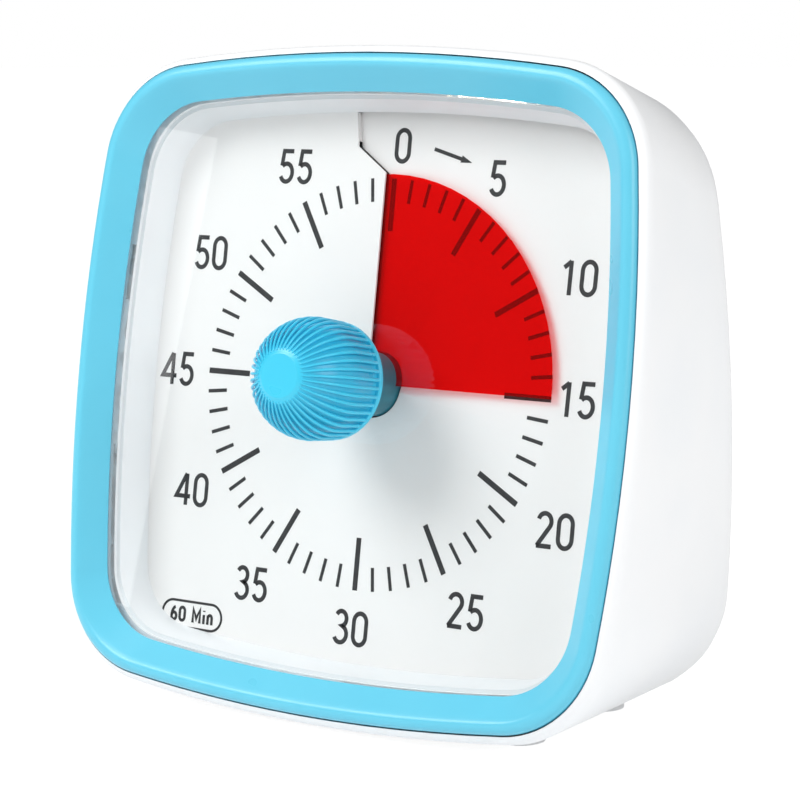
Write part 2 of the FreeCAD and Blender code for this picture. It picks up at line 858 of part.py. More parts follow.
def screw(length, x, y, z, direction):
    """Pan head with a cross recess; the shank points along direction from the head's seat."""
    head = Part.makeCylinder(screw_head_radius, screw_head_height)
    head = head.makeFillet(screw_head_round, [top_edge(head)])
    low = screw_head_height - screw_cross_depth
    high = screw_head_height + cut_over
    long = screw_cross_half
    narrow = screw_cross_width_half
    cross = box(-long, long, -narrow, narrow, low, high).fuse(box(-narrow, narrow, -long, long, low, high))
    shank = Part.makeCylinder(screw_radius, length, Vector(0, 0, -length))
    body = head.fuse(shank).cut(cross)
    if direction > 0:
        body.rotate(Vector(), Vector(1, 0, 0), 180)
    body.translate(Vector(x, y, z))
    return body


def make_movement_screws():
    length = movement_front_depth + movement_rear_depth + movement_screw_extra
    return Part.makeCompound([screw(length, x, y, movement_back, 1) for x, y in movement_corners()])


def make_chassis_screws():
    seat = tray_back - shelf_thickness
    return Part.makeCompound([screw(chassis_screw_length, x, y, seat, 1) for x, y in corners_of(boss_spread)])


# Housing, feet
def make_housing():
    cavity = Part.makeLoft(cavity_wires(), True, True)
    shell = outer_casing().cut(cavity)
    shell = shell.cut(face_slab(face_half_width + seat_gap, bezel_seat, bezel_top + cut_over))
    seat = tray_back - shelf_thickness
    shelf = face_slab(casing_half, seat, tray_back).common(cavity)
    shelf = shelf.cut(face_slab(frame_half - shelf_width, seat - cut_over, tray_back + cut_over))
    shelf = shelf.fuse([cylinder(boss_radius, seat, tray_back, x, y) for x, y in corners_of(boss_spread)])
    ledge_low = -cover_thickness - ledge_thickness
    post_low = ledge_low - post_length
    ledge = cover_outline(ledge_width, ledge_low, -cover_thickness + ledge_overlap)
    hole = cover_outline(-ledge_width, post_low - cut_over, cut_over)
    pocket = cover_outline(fit_gap, -cover_thickness, cut_over)
    posts = [cylinder(boss_radius, post_low, -cover_thickness, x, y) for x, y in cover_screw_places()]
    shell = shell.fuse([shelf, on_back(ledge)] + [on_back(post) for post in posts])
    shell = shell.cut(on_back(pocket))
    shell = shell.cut(on_back(hole.cut(Part.makeCompound(posts))))
    screw_tip = -cover_thickness + counterbore - cover_screw_length - seat_gap
    for x, y in cover_screw_places():
        shell = shell.cut(on_back(cylinder(screw_radius + slide_gap, screw_tip, cut_over, x, y)))
    for x, y in corners_of(boss_spread):
        shell = shell.cut(cylinder(screw_radius + slide_gap, seat - cut_over, tray_back + cut_over, x, y))
    return shell


def cavity_wires():
    front = face_wire(casing_half - casing_wall, bezel_top)
    return [front] + casing_body(casing_wall, cover_thickness)


def cover_outline(margin, low, high):
    """Plate with the back cover's outline, wider all round by margin."""
    corner = cover_corner + min(margin, 0.0)
    return rounded_plate(cover_width + 2 * margin, cover_height + 2 * margin, corner, low, high, 0, -cover_drop)


def cover_screw_places():
    reach_x = cover_width / 2 - cover_screw_inset
    reach_y = cover_height / 2 - cover_screw_inset
    return [(sx * reach_x, sy * reach_y - cover_drop) for sx in (-1, 1) for sy in (-1, 1)]


def make_feet():
    feet = []
    ground = -base_below_centre - foot_height
    solid_casing = outer_casing()
    for x in (-foot_side, foot_side):
        for y in (foot_front_y, foot_rear_y):
            pad = Part.makeCylinder(foot_radius, 2 * foot_radius, Vector(x, y, ground))
            pad.Placement = Placement(Vector(), face_rotation).inverse().multiply(pad.Placement)
            pad = pad.cut(solid_casing)
            feet.append(max(pad.Solids, key=lambda s: s.Volume))
    return Part.makeCompound(feet)


# Back cover with the battery bay, in the back frame
def bay_box(margin, low, high):
    half_x = bay_length / 2 + margin
    half_y = bay_height / 2 + margin
    return box(-half_x, half_x, bay_centre_y - half_y, bay_centre_y + half_y, low, high)


def grille_places():
    steps = range(-grille_reach, grille_reach + 1)
    return [(grille_pitch * i, grille_y + grille_pitch * j) for i in steps for j in steps
            if i * i + j * j <= grille_reach ** 2 + 1]


def make_rear_cover():
    floor = -door_thickness - bay_depth - bay_wall
    cover = cover_outline(0.0, -cover_thickness, 0.0).fuse(bay_box(bay_wall, floor, -cover_thickness))
    cover = cover.cut(bay_box(0.0, floor + bay_wall, cut_over))
    cover = cover.cut(door_plate(fit_gap, cut_over))
    low = -cover_thickness - cut_over
    for x, y in cover_screw_places():
        cover = cover.cut(cylinder(screw_radius + seat_gap, low, cut_over, x, y))
        cover = cover.cut(cylinder(screw_head_radius + seat_gap, -cover_thickness + counterbore, cut_over, x, y))
    for x, y in grille_places():
        cover = cover.cut(cylinder(grille_hole_radius, low, cut_over, x, y))
    cover = cover.cut(cylinder(button_radius + button_gap, low, cut_over, button_x, control_y))
    slot_half = slider_half + slide_travel + fit_gap
    slot_half_height = slider_half_height + fit_gap
    cover = cover.cut(box(switch_x - slot_half, switch_x + slot_half, control_y - slot_half_height,
                          control_y + slot_half_height, low, cut_over))
    cover = cover.fuse([cylinder(pcb_peg_radius, -pcb_depth, -cover_thickness, x, y) for x, y in pcb_peg_places()])
    for x, y in pcb_peg_places():
        tip = pcb_low + pcb_screw_length + seat_gap
        cover = cover.cut(cylinder(pcb_screw_radius + slide_gap, -pcb_depth - cut_over, tip, x, y))
    return cover


def door_plate(gap, top):
    """Plate with rounded upper corners; the lower ones are square, so that the edge there can roll."""
    margin = door_overlap + gap
    plate = rounded_plate(bay_length + 2 * margin, bay_height + 2 * margin, door_corner, -door_thickness, top,
                          0, bay_centre_y)
    half_x = bay_length / 2 + margin
    low_y = bay_centre_y - bay_height / 2 - margin
    return plate.fuse(box(-half_x, half_x, low_y, low_y + door_corner, -door_thickness, top)).removeSplitter()


def make_battery_door():
    """Flat door with finger grooves; it tilts on its lower edge, which is fully rounded."""
    plate = door_plate(0.0, 0.0)
    low_y = bay_centre_y - bay_height / 2 - door_overlap
    round_radius = door_thickness / 2
    half_x = bay_length / 2 + door_overlap
    edge = box(-beyond, beyond, low_y - cut_over, low_y + round_radius, -door_thickness, 0)
    bead = along_x(round_radius, -half_x, half_x, low_y + round_radius, -round_radius)
    plate = plate.cut(edge).fuse(bead).removeSplitter()
    for i in range(grip_count):
        y = bay_centre_y + bay_height / 2 - grip_inset - grip_pitch * i
        plate = plate.cut(box(-grip_half_width, grip_half_width, y - grip_half_height, y + grip_half_height,
                              -grip_depth, cut_over))
    return plate


def cell_places():
    reach = cell_radius + cell_gap
    return [bay_centre_y - reach, bay_centre_y + reach]


def make_cells():
    cells = []
    z = cell_middle_z
    for side, y in zip((1, -1), cell_places()):
        body = along_x(cell_radius, -cell_length / 2, cell_length / 2, y, z)
        nub_low = cell_length / 2 if side > 0 else -cell_length / 2 - cell_nub
        nub = along_x(cell_nub_radius, nub_low, nub_low + cell_nub, y, z)
        cells.append(body.fuse(nub))
    return cells


def make_contacts():
    z = cell_middle_z
    plates = []
    for side, y in zip((1, -1), cell_places()):
        wall = side * bay_length / 2
        face = wall - side * contact_thickness
        plates.append(box(min(wall, face), max(wall, face), y - contact_half, y + contact_half,
                          z - contact_half, z + contact_half))
    return Part.makeCompound(plates)


def make_springs():
    """Negative contacts: a coil of round wire from the bay's end wall to the cell."""
    z = cell_middle_z
    springs = []
    for side, y in zip((-1, 1), cell_places()):
        wall = side * bay_length / 2
        cell_end = side * cell_length / 2
        length = abs(wall - cell_end) - 2 * spring_wire - 2 * slide_gap
        helix = Part.makeHelix(length / spring_turns, length, spring_radius)
        start = Vector(spring_radius, 0, 0)
        profile = Part.Wire([Part.Circle(start, Vector(0, 1, 0), spring_wire).toShape()])
        coil = Part.Wire(helix.Edges).makePipeShell([profile], True, True)
        coil.rotate(Vector(), Vector(0, 1, 0), 90 * side)
        coil.translate(Vector(cell_end + side * (spring_wire + slide_gap), y, z))
        springs.append(coil)
    return Part.makeCompound(springs)


def pcb_peg_places():
    reach_x = pcb_width / 2 - pcb_peg_inset
    reach_y = pcb_height / 2 - pcb_peg_inset
    return [(sx * reach_x, pcb_centre_y + sy * reach_y) for sx in (-1, 1) for sy in (-1, 1)]


def make_pcb():
    board = rounded_plate(pcb_width, pcb_height, pcb_corner, pcb_low, -pcb_depth, 0, pcb_centre_y)
    for x, y in pcb_peg_places():
        board = board.cut(cylinder(pcb_screw_radius + fit_gap, pcb_low - cut_over, -pcb_depth + cut_over, x, y))
    return board


def make_pcb_screws():
    screws = []
    for x, y in pcb_peg_places():
        head = cylinder(pcb_screw_head_radius, pcb_low - pcb_screw_head, pcb_low, x, y)
        screws.append(head.fuse(cylinder(pcb_screw_radius, pcb_low, pcb_low + pcb_screw_length, x, y)))
    return Part.makeCompound(screws)


def make_cover_screws():
    seat = -cover_thickness + counterbore
    return Part.makeCompound([screw(cover_screw_length, x, y, seat, -1) for x, y in cover_screw_places()])


def make_button():
    cap = cylinder(button_radius, control_low, button_proud, button_x, control_y)
    cap = cap.makeFillet(button_round, [top_edge(cap)])
    flange = cylinder(button_radius + button_flange, control_low, control_low + control_flange, button_x, control_y)
    return cap.fuse(flange)


def make_button_switch():
    half = button_switch_half
    top = -pcb_depth + button_switch_height
    body = box(button_x - half, button_x + half, control_y - half, control_y + half, -pcb_depth, top)
    plunger = cylinder(plunger_radius, top, control_low - button_travel - slide_gap, button_x, control_y)
    return body.fuse(plunger)


def control_box(half_x, half_y, low, high):
    """Box around the middle of the slide switch."""
    return box(switch_x - half_x, switch_x + half_x, control_y - half_y, control_y + half_y, low, high)


def make_sound_slider():
    cap = control_box(slider_half, slider_half_height, control_low, slider_proud)
    flange = control_box(slider_flange_half, slider_flange_half_height, control_low, control_low + control_flange)
    stem = control_box(slider_stem_half, slider_stem_half, control_low - slider_stem, control_low)
    return joined(cap, flange, stem)


def make_sound_switch():
    body = control_box(slider_flange_half, slider_flange_half_height, -pcb_depth, control_low - seat_gap)
    reach = slider_stem_half + slide_travel + fit_gap
    return body.cut(control_box(reach, slider_stem_half + fit_gap, control_low - slider_stem - fit_gap, 0))


def make_buzzer():
    """A flat piezo disc glued behind the sound holes, with its smaller ceramic disc."""
    low = -cover_thickness - buzzer_thickness
    disc = cylinder(buzzer_radius, low, -cover_thickness, 0, grille_y)
    return disc.fuse(cylinder(buzzer_radius * ceramic_share, low - ceramic_thickness, low, 0, grille_y))


def make_chip():
    return box(-chip_half_width, chip_half_width, pcb_centre_y - chip_half_height,
               pcb_centre_y + chip_half_height, pcb_low - chip_thickness, pcb_low)


def make_crystal():
    z = pcb_low - crystal_radius - crystal_lift
    return along_x(crystal_radius, crystal_x, crystal_x + crystal_length, pcb_centre_y - crystal_drop, z)


def face_nodes():
    third, second, rotor = arbor_places()
    third_pinion, second_pinion, rotor_pinion = gear_turns()
    bobbin, winding = make_coil_parts(rotor)
    cells = [on_back(cell) for cell in make_cells()]
    return {
        "housing": make_housing(),
        "rubber_feet": make_feet(),
        "bezel": make_bezel(),
        "lens": make_lens(),
        "inner_frame": make_inner_frame(),
        "night_light_window": make_lamp_window(),
        "night_light_lamps": make_lamps(),
        "dial_plate": make_dial(),
        "timer_disc": make_film(),
        "disc_sleeve": make_sleeve(),
        "knob": make_knob(),
        "knob_shaft": make_shaft(),
        "clutch_washer": make_clutch(),
        "shaft_bush": make_bush(),
        "chassis": make_chassis(),
        "chassis_screws": make_chassis_screws(),
        "movement_front_case": make_movement_front(),
        "movement_rear_case": make_movement_rear(),
        "movement_screws": make_movement_screws(),
        "centre_wheel": make_centre_wheel(),
        "third_wheel": wheel_and_pinion(third, third_teeth, 0.0, third_layer, third_pinion, centre_layer),
        "second_wheel": wheel_and_pinion(second, second_teeth, 0.0, second_layer, second_pinion, third_layer),
        "rotor": make_rotor(rotor, rotor_pinion),
        "rotor_magnet": make_magnet(rotor),
        "stator": make_stator(rotor),
        "coil_bobbin": bobbin,
        "coil_winding": winding,
        "rear_cover": on_back(make_rear_cover()),
        "cover_screws": on_back(make_cover_screws()),
        "battery_door": on_back(make_battery_door()),
        "battery_upper": cells[1],
        "battery_lower": cells[0],
        "battery_contacts": on_back(make_contacts()),
        "battery_springs": on_back(make_springs()),
        "circuit_board": on_back(make_pcb()),
        "board_screws": on_back(make_pcb_screws()),
        "light_button": on_back(make_button()),
        "button_switch": on_back(make_button_switch()),
        "sound_slider": on_back(make_sound_slider()),
        "sound_switch": on_back(make_sound_switch()),
        "buzzer": on_back(make_buzzer()),
        "timer_chip": on_back(make_chip()),
        "quartz_crystal": on_back(make_crystal()),
    }


def stand_up(nodes):
    """Leans the face back, puts the feet on the ground and centres the part over the origin."""
    lift = base_below_centre + foot_height
    standing = {}
    for name, shape in nodes.items():
        turned = shape.copy()
        turned.Placement = Placement(Vector(0, 0, lift), face_rotation).multiply(turned.Placement)
        standing[name] = turned
    reach = Part.makeCompound([standing["knob"], standing["housing"], standing["rear_cover"]])
    bounds = reach.optimalBoundingBox(False, False)
    shift = Vector(0, -(bounds.YMin + bounds.YMax) / 2, 0)
    for shape in standing.values():
        shape.Placement = Placement(shift, Rotation()).multiply(shape.Placement)
    return standing, Placement(Vector(0, shift.y, lift), face_rotation)


def main():
    os.makedirs("parts", exist_ok=True)
    standing, placing = stand_up(face_nodes())
    for name, shape in standing.items():
        shape.exportStep("parts/" + name + ".step")
        print(name, len(shape.Solids), "solids", round(shape.Volume, 2), "mm3", shape.isValid())
    third, second, rotor = arbor_places()
    for label, point in (("dial centre", Vector()), ("third", third), ("second", second), ("rotor", rotor),
                         ("back origin", back_placement.Base)):
        place = placing.multVec(point)
        print(label, [round(value, 4) for value in place])


main()
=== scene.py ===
import json
import math

import bmesh
import bpy
from mathutils import Matrix, Vector

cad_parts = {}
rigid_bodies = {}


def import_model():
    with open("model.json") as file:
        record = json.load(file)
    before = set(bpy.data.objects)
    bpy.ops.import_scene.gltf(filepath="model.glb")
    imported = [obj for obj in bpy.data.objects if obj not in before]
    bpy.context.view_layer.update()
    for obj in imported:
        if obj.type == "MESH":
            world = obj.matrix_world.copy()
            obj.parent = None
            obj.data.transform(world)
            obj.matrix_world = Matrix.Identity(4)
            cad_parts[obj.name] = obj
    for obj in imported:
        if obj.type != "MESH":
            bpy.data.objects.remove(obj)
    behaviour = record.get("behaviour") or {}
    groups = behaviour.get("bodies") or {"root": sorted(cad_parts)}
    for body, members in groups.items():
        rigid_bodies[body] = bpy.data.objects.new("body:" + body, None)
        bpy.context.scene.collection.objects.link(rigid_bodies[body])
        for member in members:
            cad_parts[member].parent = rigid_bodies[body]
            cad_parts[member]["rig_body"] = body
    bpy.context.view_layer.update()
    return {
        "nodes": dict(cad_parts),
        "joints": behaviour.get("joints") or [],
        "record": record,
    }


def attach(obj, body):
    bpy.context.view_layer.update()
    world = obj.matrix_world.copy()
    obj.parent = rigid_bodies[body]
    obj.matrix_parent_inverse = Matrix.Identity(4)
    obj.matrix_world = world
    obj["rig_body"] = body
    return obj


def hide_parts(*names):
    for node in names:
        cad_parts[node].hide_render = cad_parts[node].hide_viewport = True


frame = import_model()

MM = 0.001

# The face frame: origin at the dial's centre, x right, y up along the dial, z out of the dial
turn = next(j for j in frame["joints"] if j["name"] == "knob_turn")
CENTRE = Vector(turn["pos_m"])
RIGHT = Vector((1.0, 0.0, 0.0))
OUT = -Vector(turn["axis"]).normalized()
UP = OUT.cross(RIGHT)
FACE = Matrix((RIGHT, UP, OUT)).transposed()

# Sizes in millimetres, as the solids have them. Heights are over the dial's printed surface.
# Bezel, window and recess wall share one outline, four shallow bows with round corners.
FACE_HALF = 63.3
HEIGHT_LESS = 0.4
FACE_DROP = 0.7
BOW_RADIUS = 364.0
CORNER_RADIUS = 20.0
CORNER_SHARE = 0.72

# Bezel: rolled rim, brow, slope to the window, then the window's seat and the spigot behind
BEZEL_TOP = 14.0
BEZEL_REAR = 9.0
RIM_WIDTH = 1.9
RIM_HEIGHT = 1.5
RIM_STEPS = 10
BROW_WIDTHS = (0.35, 0.75)
BROW_DROPS = (0.06, 0.30)
SLOPE_STEPS = 6
SLOPE_LIP = 0.25
WINDOW_HALF = 56.4
SEAT_HALF = 57.8
SPIGOT_INNER = 59.1
SPIGOT_OUTER = 60.9
SPIGOT_REAR = 4.0

# Window pane, and the recess wall as (half width, height)
LENS_TOP = 9.6
LENS_REAR = 7.6
PANE_HALF = 57.6
PANE_EASE = 0.3
PANE_HOLE = 6.5
RECESS_WALL = ((58.6, 0.0), (58.6, LENS_REAR), (56.3, LENS_REAR), (56.2, 7.0), (55.4, 6.9),
               (55.3, 6.1), (54.9, 5.6), (54.1, 0.9), (53.8, 0.0))

# Dial: a slit, and right of it a flap that is sunk and climbs back between two clock angles
DIAL_THICKNESS = 0.4
SLIT_X = -1.3
JOG_X = -8.2
JOG_TOP = 45.9
SLIT_LEAN = 0.14
FLAP_DEPTH = 1.4
FLAP_LEVEL = 40.0
FLAP_END = 100.0

# Knob: ring at the rear as (radius, height over the rear), a dome, and a cap as (radius, height
# over the top). The dome is a shallow cone up to the shoulder and an arc from there to the cap.
KNOB_REAR = 12.9
KNOB_TOP = 30.4
NECK_CUT = KNOB_REAR - 0.01
REAR_RING = ((0.0, 0.0), (11.1, 0.0), (11.3, 0.2), (11.3, 0.9), (11.1, 1.1), (10.5, 1.15))
CAP = ((4.35, -0.12), (4.2, 0.0), (4.0, 0.0), (0.0, 0.0))
DOME_FOOT_RADIUS = 11.4
DOME_FLARE = 0.2
SHOULDER_RADIUS = 11.6
SHOULDER_RISE = 5.5
ARC_MIDDLE_RADIUS = 0.86
ARC_MIDDLE_HEIGHT = 0.62
CAP_RADIUS = 4.4
CORE_AROUND = 176
CORE_STEPS = 26
GROOVE_START = 1.15
GROOVE_STOP = 0.35
GROOVE_DEPTH = 1.0
GROOVE_FADE = 0.9
RIB_COUNT = 43
RIB_SIDES = 10
RIB_STEPS = 30
RIB_START = 1.5
RIB_STOP = 0.25
RIB_SHARE = 0.21

# Print on the dial. MARK_UNIT is the radius of the marks' outer ends; places given as shares are
# in that unit.
MARK_UNIT = 40.0
INK_LIFT = 0.01
INK_THICKNESS = 0.03
INK_LEVELS = (INK_LIFT, INK_LIFT + INK_THICKNESS)
MINUTES = 60
MAJOR_EVERY = 5
MINOR_LENGTH = 4.6
MINOR_WIDTH = 0.72
MAJOR_LENGTH = 10.2
MAJOR_WIDTH = 1.12
MARK_CUTS = 6
NUMERAL_HEIGHT = 6.9
NUMERAL_LINE = 0.88
POINT_GAP = 0.02
MITRE_LIMIT = 0.45
ARROW_TAIL = (0.217, 1.148)
ARROW_HEAD = (0.437, 1.086)
ARROW_LINE = 0.72
ARROW_BARB = 2.6
ARROW_HALF = 0.72
ARROW_OVERLAP = 0.2
BADGE_PLACE = (-0.978, -1.238)
BADGE_HALF = 0.188
BADGE_RADIUS = 0.066
BADGE_LINE = 0.50
BADGE_HEIGHT = 3.0
BADGE_STROKE = 0.62
BADGE_SPACING = 0.16

# Strip that closes the upper end of the slit: its ends, and its edges left of the slit's line
STRIP_LOW_Y = 47.0
STRIP_HIGH_Y = 52.6
STRIP_LEFT = -0.4
STRIP_RIGHT = -0.02
STRIP_GAP = 0.01


def face(x, y, z):
    """A place given in the face frame, in millimetres."""
    return CENTRE + FACE @ (Vector((x, y, z)) * MM)


# Meshes

def new_object(name, data):
    """An object in the scene that shows the data."""
    made = bpy.data.objects.new(name, data)
    bpy.context.scene.collection.objects.link(made)
    return made


def sharpen(mesh, angle):
    """Smooth shading, with the edges that bend by more than angle kept sharp."""
    bm = bmesh.new()
    bm.from_mesh(mesh)
    for f in bm.faces:
        f.smooth = True
    for e in bm.edges:
        if len(e.link_faces) == 2:
            e.smooth = e.calc_face_angle(0.0) < math.radians(angle)
    bm.to_mesh(mesh)
    bm.free()


def build_mesh(name, points, faces, angle=35.0):
    """A mesh from points in the face frame, merged, with its faces turned outwards."""
    mesh = bpy.data.meshes.new(name)
    mesh.from_pydata([face(*p) for p in points], [], faces)
    bm = bmesh.new()
    bm.from_mesh(mesh)
    bmesh.ops.remove_doubles(bm, verts=bm.verts, dist=1e-7)
    bmesh.ops.recalc_face_normals(bm, faces=bm.faces)
    bm.to_mesh(mesh)
    bm.free()
    sharpen(mesh, angle)
    return mesh


def add_to(points, faces, new_points, new_faces):
    """Appends points, and the faces that count from the first of them."""
    start = len(points)
    points += new_points
    faces += [tuple(start + k for k in f) for f in new_faces]


def finished(made, body, material, slot_name, *nodes):
    """Gives a piece its body and its material, and hides the solids that it stands for."""
    made.data.materials.clear()
    made.data.materials.append(material)
    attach(made, body)
    if nodes:
        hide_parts(*nodes)
    return made


def smooth_copy(node_name, name, material, slot_name, angle=28.0):
    """A merged copy of a solid with smooth curves and sharp edges, shown in its place."""
    source = frame["nodes"][node_name]
    mesh = source.data.copy()
    mesh.name = name
    bm = bmesh.new()
    bm.from_mesh(mesh)
    bmesh.ops.remove_doubles(bm, verts=bm.verts, dist=2e-6)
    bm.to_mesh(mesh)
    bm.free()
    if mesh.has_custom_normals:
        mesh.attributes.remove(mesh.attributes["custom_normal"])
    sharpen(mesh, angle)
    return finished(new_object(name, mesh), source["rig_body"], material, slot_name, node_name)


def outline(half, steps=18):
    """Points round the bowed, round-cornered outline with this half width."""
    half_y = half - HEIGHT_LESS
    corner = CORNER_RADIUS - (FACE_HALF - half) * CORNER_SHARE
    # The side bow is centred at (-a, 0) and the top bow at (0, -b). The corner's centre (cx, cy)
    # is as far from both as its arc needs to touch them from inside.
    a = BOW_RADIUS - half
    b = BOW_RADIUS - half_y
    m = a / b
    n = (a * a - b * b) / (2 * b)
    p = 1 + m * m
    q = a + m * n
    s = a * a + n * n - (BOW_RADIUS - corner) ** 2
    cx = (-q + math.sqrt(q * q - p * s)) / p
    cy = m * cx + n
    to_side = math.atan2(cy, cx + a)
    to_top = math.atan2(cy + b, cx)
    runs = ((-a, 0.0, BOW_RADIUS, 0.0, to_side), (cx, cy, corner, to_side, to_top),
            (0.0, -b, BOW_RADIUS, to_top, math.pi / 2))
    quarter = []
    for x0, y0, r, first, last in runs:
        for i in range(steps):
            t = first + (last - first) * i / steps
            quarter.append((x0 + r * math.cos(t), y0 + r * math.sin(t)))
    quarter.append((0.0, half_y))
    upper = quarter + [(-x, y) for x, y in reversed(quarter[:-1])]
    lower = [(x, -y) for x, y in reversed(upper[1:-1])]
    return [(x, y - FACE_DROP) for x, y in upper + lower]


def bands(rows, per, closed=True):
    """Faces between neighbouring rows of per points, each row given by its first point."""
    faces = []
    for k in range(len(rows) if closed else len(rows) - 1):
        low = rows[k]
        high = rows[(k + 1) % len(rows)]
        for i in range(per):
            j = (i + 1) % per
            faces.append((low + i, low + j, high + j, high + i))
    return faces


def outline_rows(section):
    """Points of a section carried round the outline, with the number of points in each row."""
    points = []
    for half, z in section:
        points += [(x, y, z) for x, y in outline(half)]
    return points, len(points) // len(section)


def ring_mesh(name, section, angle):
    """A closed ring from a section that is a loop of (half width, height) pairs."""
    points, per = outline_rows(section)
    return build_mesh(name, points, bands(range(0, len(points), per), per), angle)


def turned_mesh(name, section, around, angle):
    """A solid of revolution round the dial's axis, from (radius, height) pairs."""
    points = []
    for r, z in section:
        for i in range(around):
            t = 2 * math.pi * i / around
            points.append((r * math.cos(t), r * math.sin(t), z))
    rows = range(0, len(points), around)
    return build_mesh(name, points, bands(rows, around, closed=False), angle)


# Node trees

def linear(colour):
    """An sRGB hex colour as the linear values that a shader takes."""
    parts = [int(colour[i:i + 2], 16) / 255 for i in (1, 3, 5)]
    return [c / 12.92 if c <= 0.04045 else ((c + 0.055) / 1.055) ** 2.4 for c in parts] + [1.0]


def node(tree, kind, inputs=None, **settings):
    """Adds a node with its settings; an input is a value or the socket that feeds it."""
    made = tree.nodes.new(kind)
    for name, value in settings.items():
        setattr(made, name, value)
    for name, value in (inputs or {}).items():
        if isinstance(value, bpy.types.NodeSocket):
            tree.links.new(value, made.inputs[name])
        else:
            made.inputs[name].default_value = value
    return made


def maths(tree, operation, *values):
    """The result of a sum on values and sockets."""
    made = node(tree, "ShaderNodeMath", dict(enumerate(values)), operation=operation)
    return made.outputs["Value"]


def mixed(tree, share, first, second):
    """The first shader, with a share of the second."""
    return node(tree, "ShaderNodeMixShader", {0: share, 1: first, 2: second}).outputs["Shader"]


def place(tree):
    """Where a point lies in its object's own space."""
    return node(tree, "ShaderNodeTexCoord").outputs["Object"]


def noise(tree, where, size_mm, detail):
    """Noise with lumps that are size_mm across."""
    return node(tree, "ShaderNodeTexNoise", {
        "Vector": where, "Scale": 1.0 / (size_mm * MM), "Detail": detail}).outputs["Fac"]


def relief(tree, height, strength, depth_mm):
    """The normal of a surface whose height follows a pattern."""
    return node(tree, "ShaderNodeBump", {
        "Height": height, "Strength": strength, "Distance": depth_mm * MM}).outputs["Normal"]


def blotched(tree, base, other, size_mm):
    """Colour that wanders between two close shades over size_mm."""
    spread = node(tree, "ShaderNodeMapRange", {
        "Value": noise(tree, place(tree), size_mm, 3.0), "From Min": 0.35, "From Max": 0.65})
    shades = {"Factor": spread.outputs["Result"], "A": linear(base), "B": linear(other)}
    return node(tree, "ShaderNodeMix", shades, data_type="RGBA").outputs["Result"]


def blank(name):
    """A new material and its empty tree."""
    material = bpy.data.materials.new(name)
    material.use_nodes = True
    material.node_tree.nodes.clear()
    return material, material.node_tree


def close(tree, shader):
    """Ends a material's tree with its surface."""
    node(tree, "ShaderNodeOutputMaterial", {"Surface": shader})


def principled(tree, inputs):
    """Ends a material's tree with a principled surface."""
    close(tree, node(tree, "ShaderNodeBsdfPrincipled", inputs).outputs["BSDF"])


# Kinds of material

BLOTCH_MM = 24.0
PATCH_MM = 9.0
ROUGHNESS_SWING = 0.06


def moulded(name, base, other, roughness, grain_mm, grain_depth, ior=1.49):
    """Moulded plastic: two close shades, a spark-eroded grain, a roughness that wanders."""
    material, tree = blank(name)
    where = place(tree)
    rough = node(tree, "ShaderNodeMapRange", {
        "Value": noise(tree, where, PATCH_MM, 2.0), "To Min": roughness - ROUGHNESS_SWING,
        "To Max": roughness + ROUGHNESS_SWING})
    principled(tree, {
        "Base Color": blotched(tree, base, other, BLOTCH_MM),
        "Roughness": rough.outputs["Result"],
        "Normal": relief(tree, noise(tree, where, grain_mm, 2.0), grain_depth, 0.05),
        "IOR": ior})
    return material


def metal(name, base, other, roughness, line_mm):
    """Bare metal with the fine lines of rolling or turning."""
    material, tree = blank(name)
    stretched = node(tree, "ShaderNodeMapping", {"Vector": place(tree), "Scale": (1.0, 0.08, 1.0)})
    lines = noise(tree, stretched.outputs["Vector"], line_mm, 4.0)
    principled(tree, {
        "Base Color": blotched(tree, base, other, 6.0), "Metallic": 1.0, "Roughness": roughness,
        "Normal": relief(tree, lines, 0.25, 0.02)})
    return material


def printed(name, base, other, roughness):
    """Screen-printed ink: matt, with the faint mottling of a pulled film of ink."""
    material, tree = blank(name)
    principled(tree, {
        "Base Color": blotched(tree, base, other, 1.5), "Roughness": roughness, "IOR": 1.5})
    return material


def clear_window():
    """Acrylic pane: what lies behind shows through, and its outer faces mirror the studio."""
    material, tree = blank("polished_clear_acrylic")
    ripple = relief(tree, noise(tree, place(tree), 30.0, 1.0), 0.02, 0.1)
    sheen = node(tree, "ShaderNodeFresnel", {"IOR": 1.49, "Normal": ripple})
    mirror = node(tree, "ShaderNodeBsdfAnisotropic", {
        "Color": linear("#FFFFFF"), "Roughness": 0.02, "Normal": ripple})
    passing = node(tree, "ShaderNodeBsdfTransparent", {"Color": linear("#FDFEFE")})
    # Only faces turned to the eye mirror: light that leaves the pane would else be shut in
    side = node(tree, "ShaderNodeNewGeometry")
    outer = maths(tree, "SUBTRACT", 1.0, side.outputs["Backfacing"])
    share = maths(tree, "MULTIPLY", sheen.outputs["Fac"], outer)
    close(tree, mixed(tree, share, passing.outputs["BSDF"], mirror.outputs["BSDF"]))
    return material


def red_film():
    """Red film: each face sends back 16 % of the light and lets the rest through, tinted."""
    material, tree = blank("translucent_red_polyester")
    sheet = node(tree, "ShaderNodeBsdfPrincipled", {
        "Base Color": blotched(tree, "#E00A0C", "#D8080A", 18.0), "Roughness": 0.42, "IOR": 1.5,
        "Specular IOR Level": 0.1})
    passing = node(tree, "ShaderNodeBsdfTransparent", {"Color": linear("#FF1C1C")})
    close(tree, mixed(tree, 0.16, passing.outputs["BSDF"], sheet.outputs["BSDF"]))
    return material


def lit(name, base, glow, strength):
    """A part of the night light that shines: a pale body with warm white light of its own."""
    material, tree = blank(name)
    principled(tree, {
        "Base Color": blotched(tree, base, "#FFF9EE", 3.0), "Roughness": 0.5,
        "Emission Color": linear(glow), "Emission Strength": strength})
    return material


# White ABS casing, spark-eroded mould: a fine matt skin with soft highlights
casing_white = moulded("casing_white_abs", "#F6F7F8", "#F3F5F7", 0.42, 0.5, 0.10)
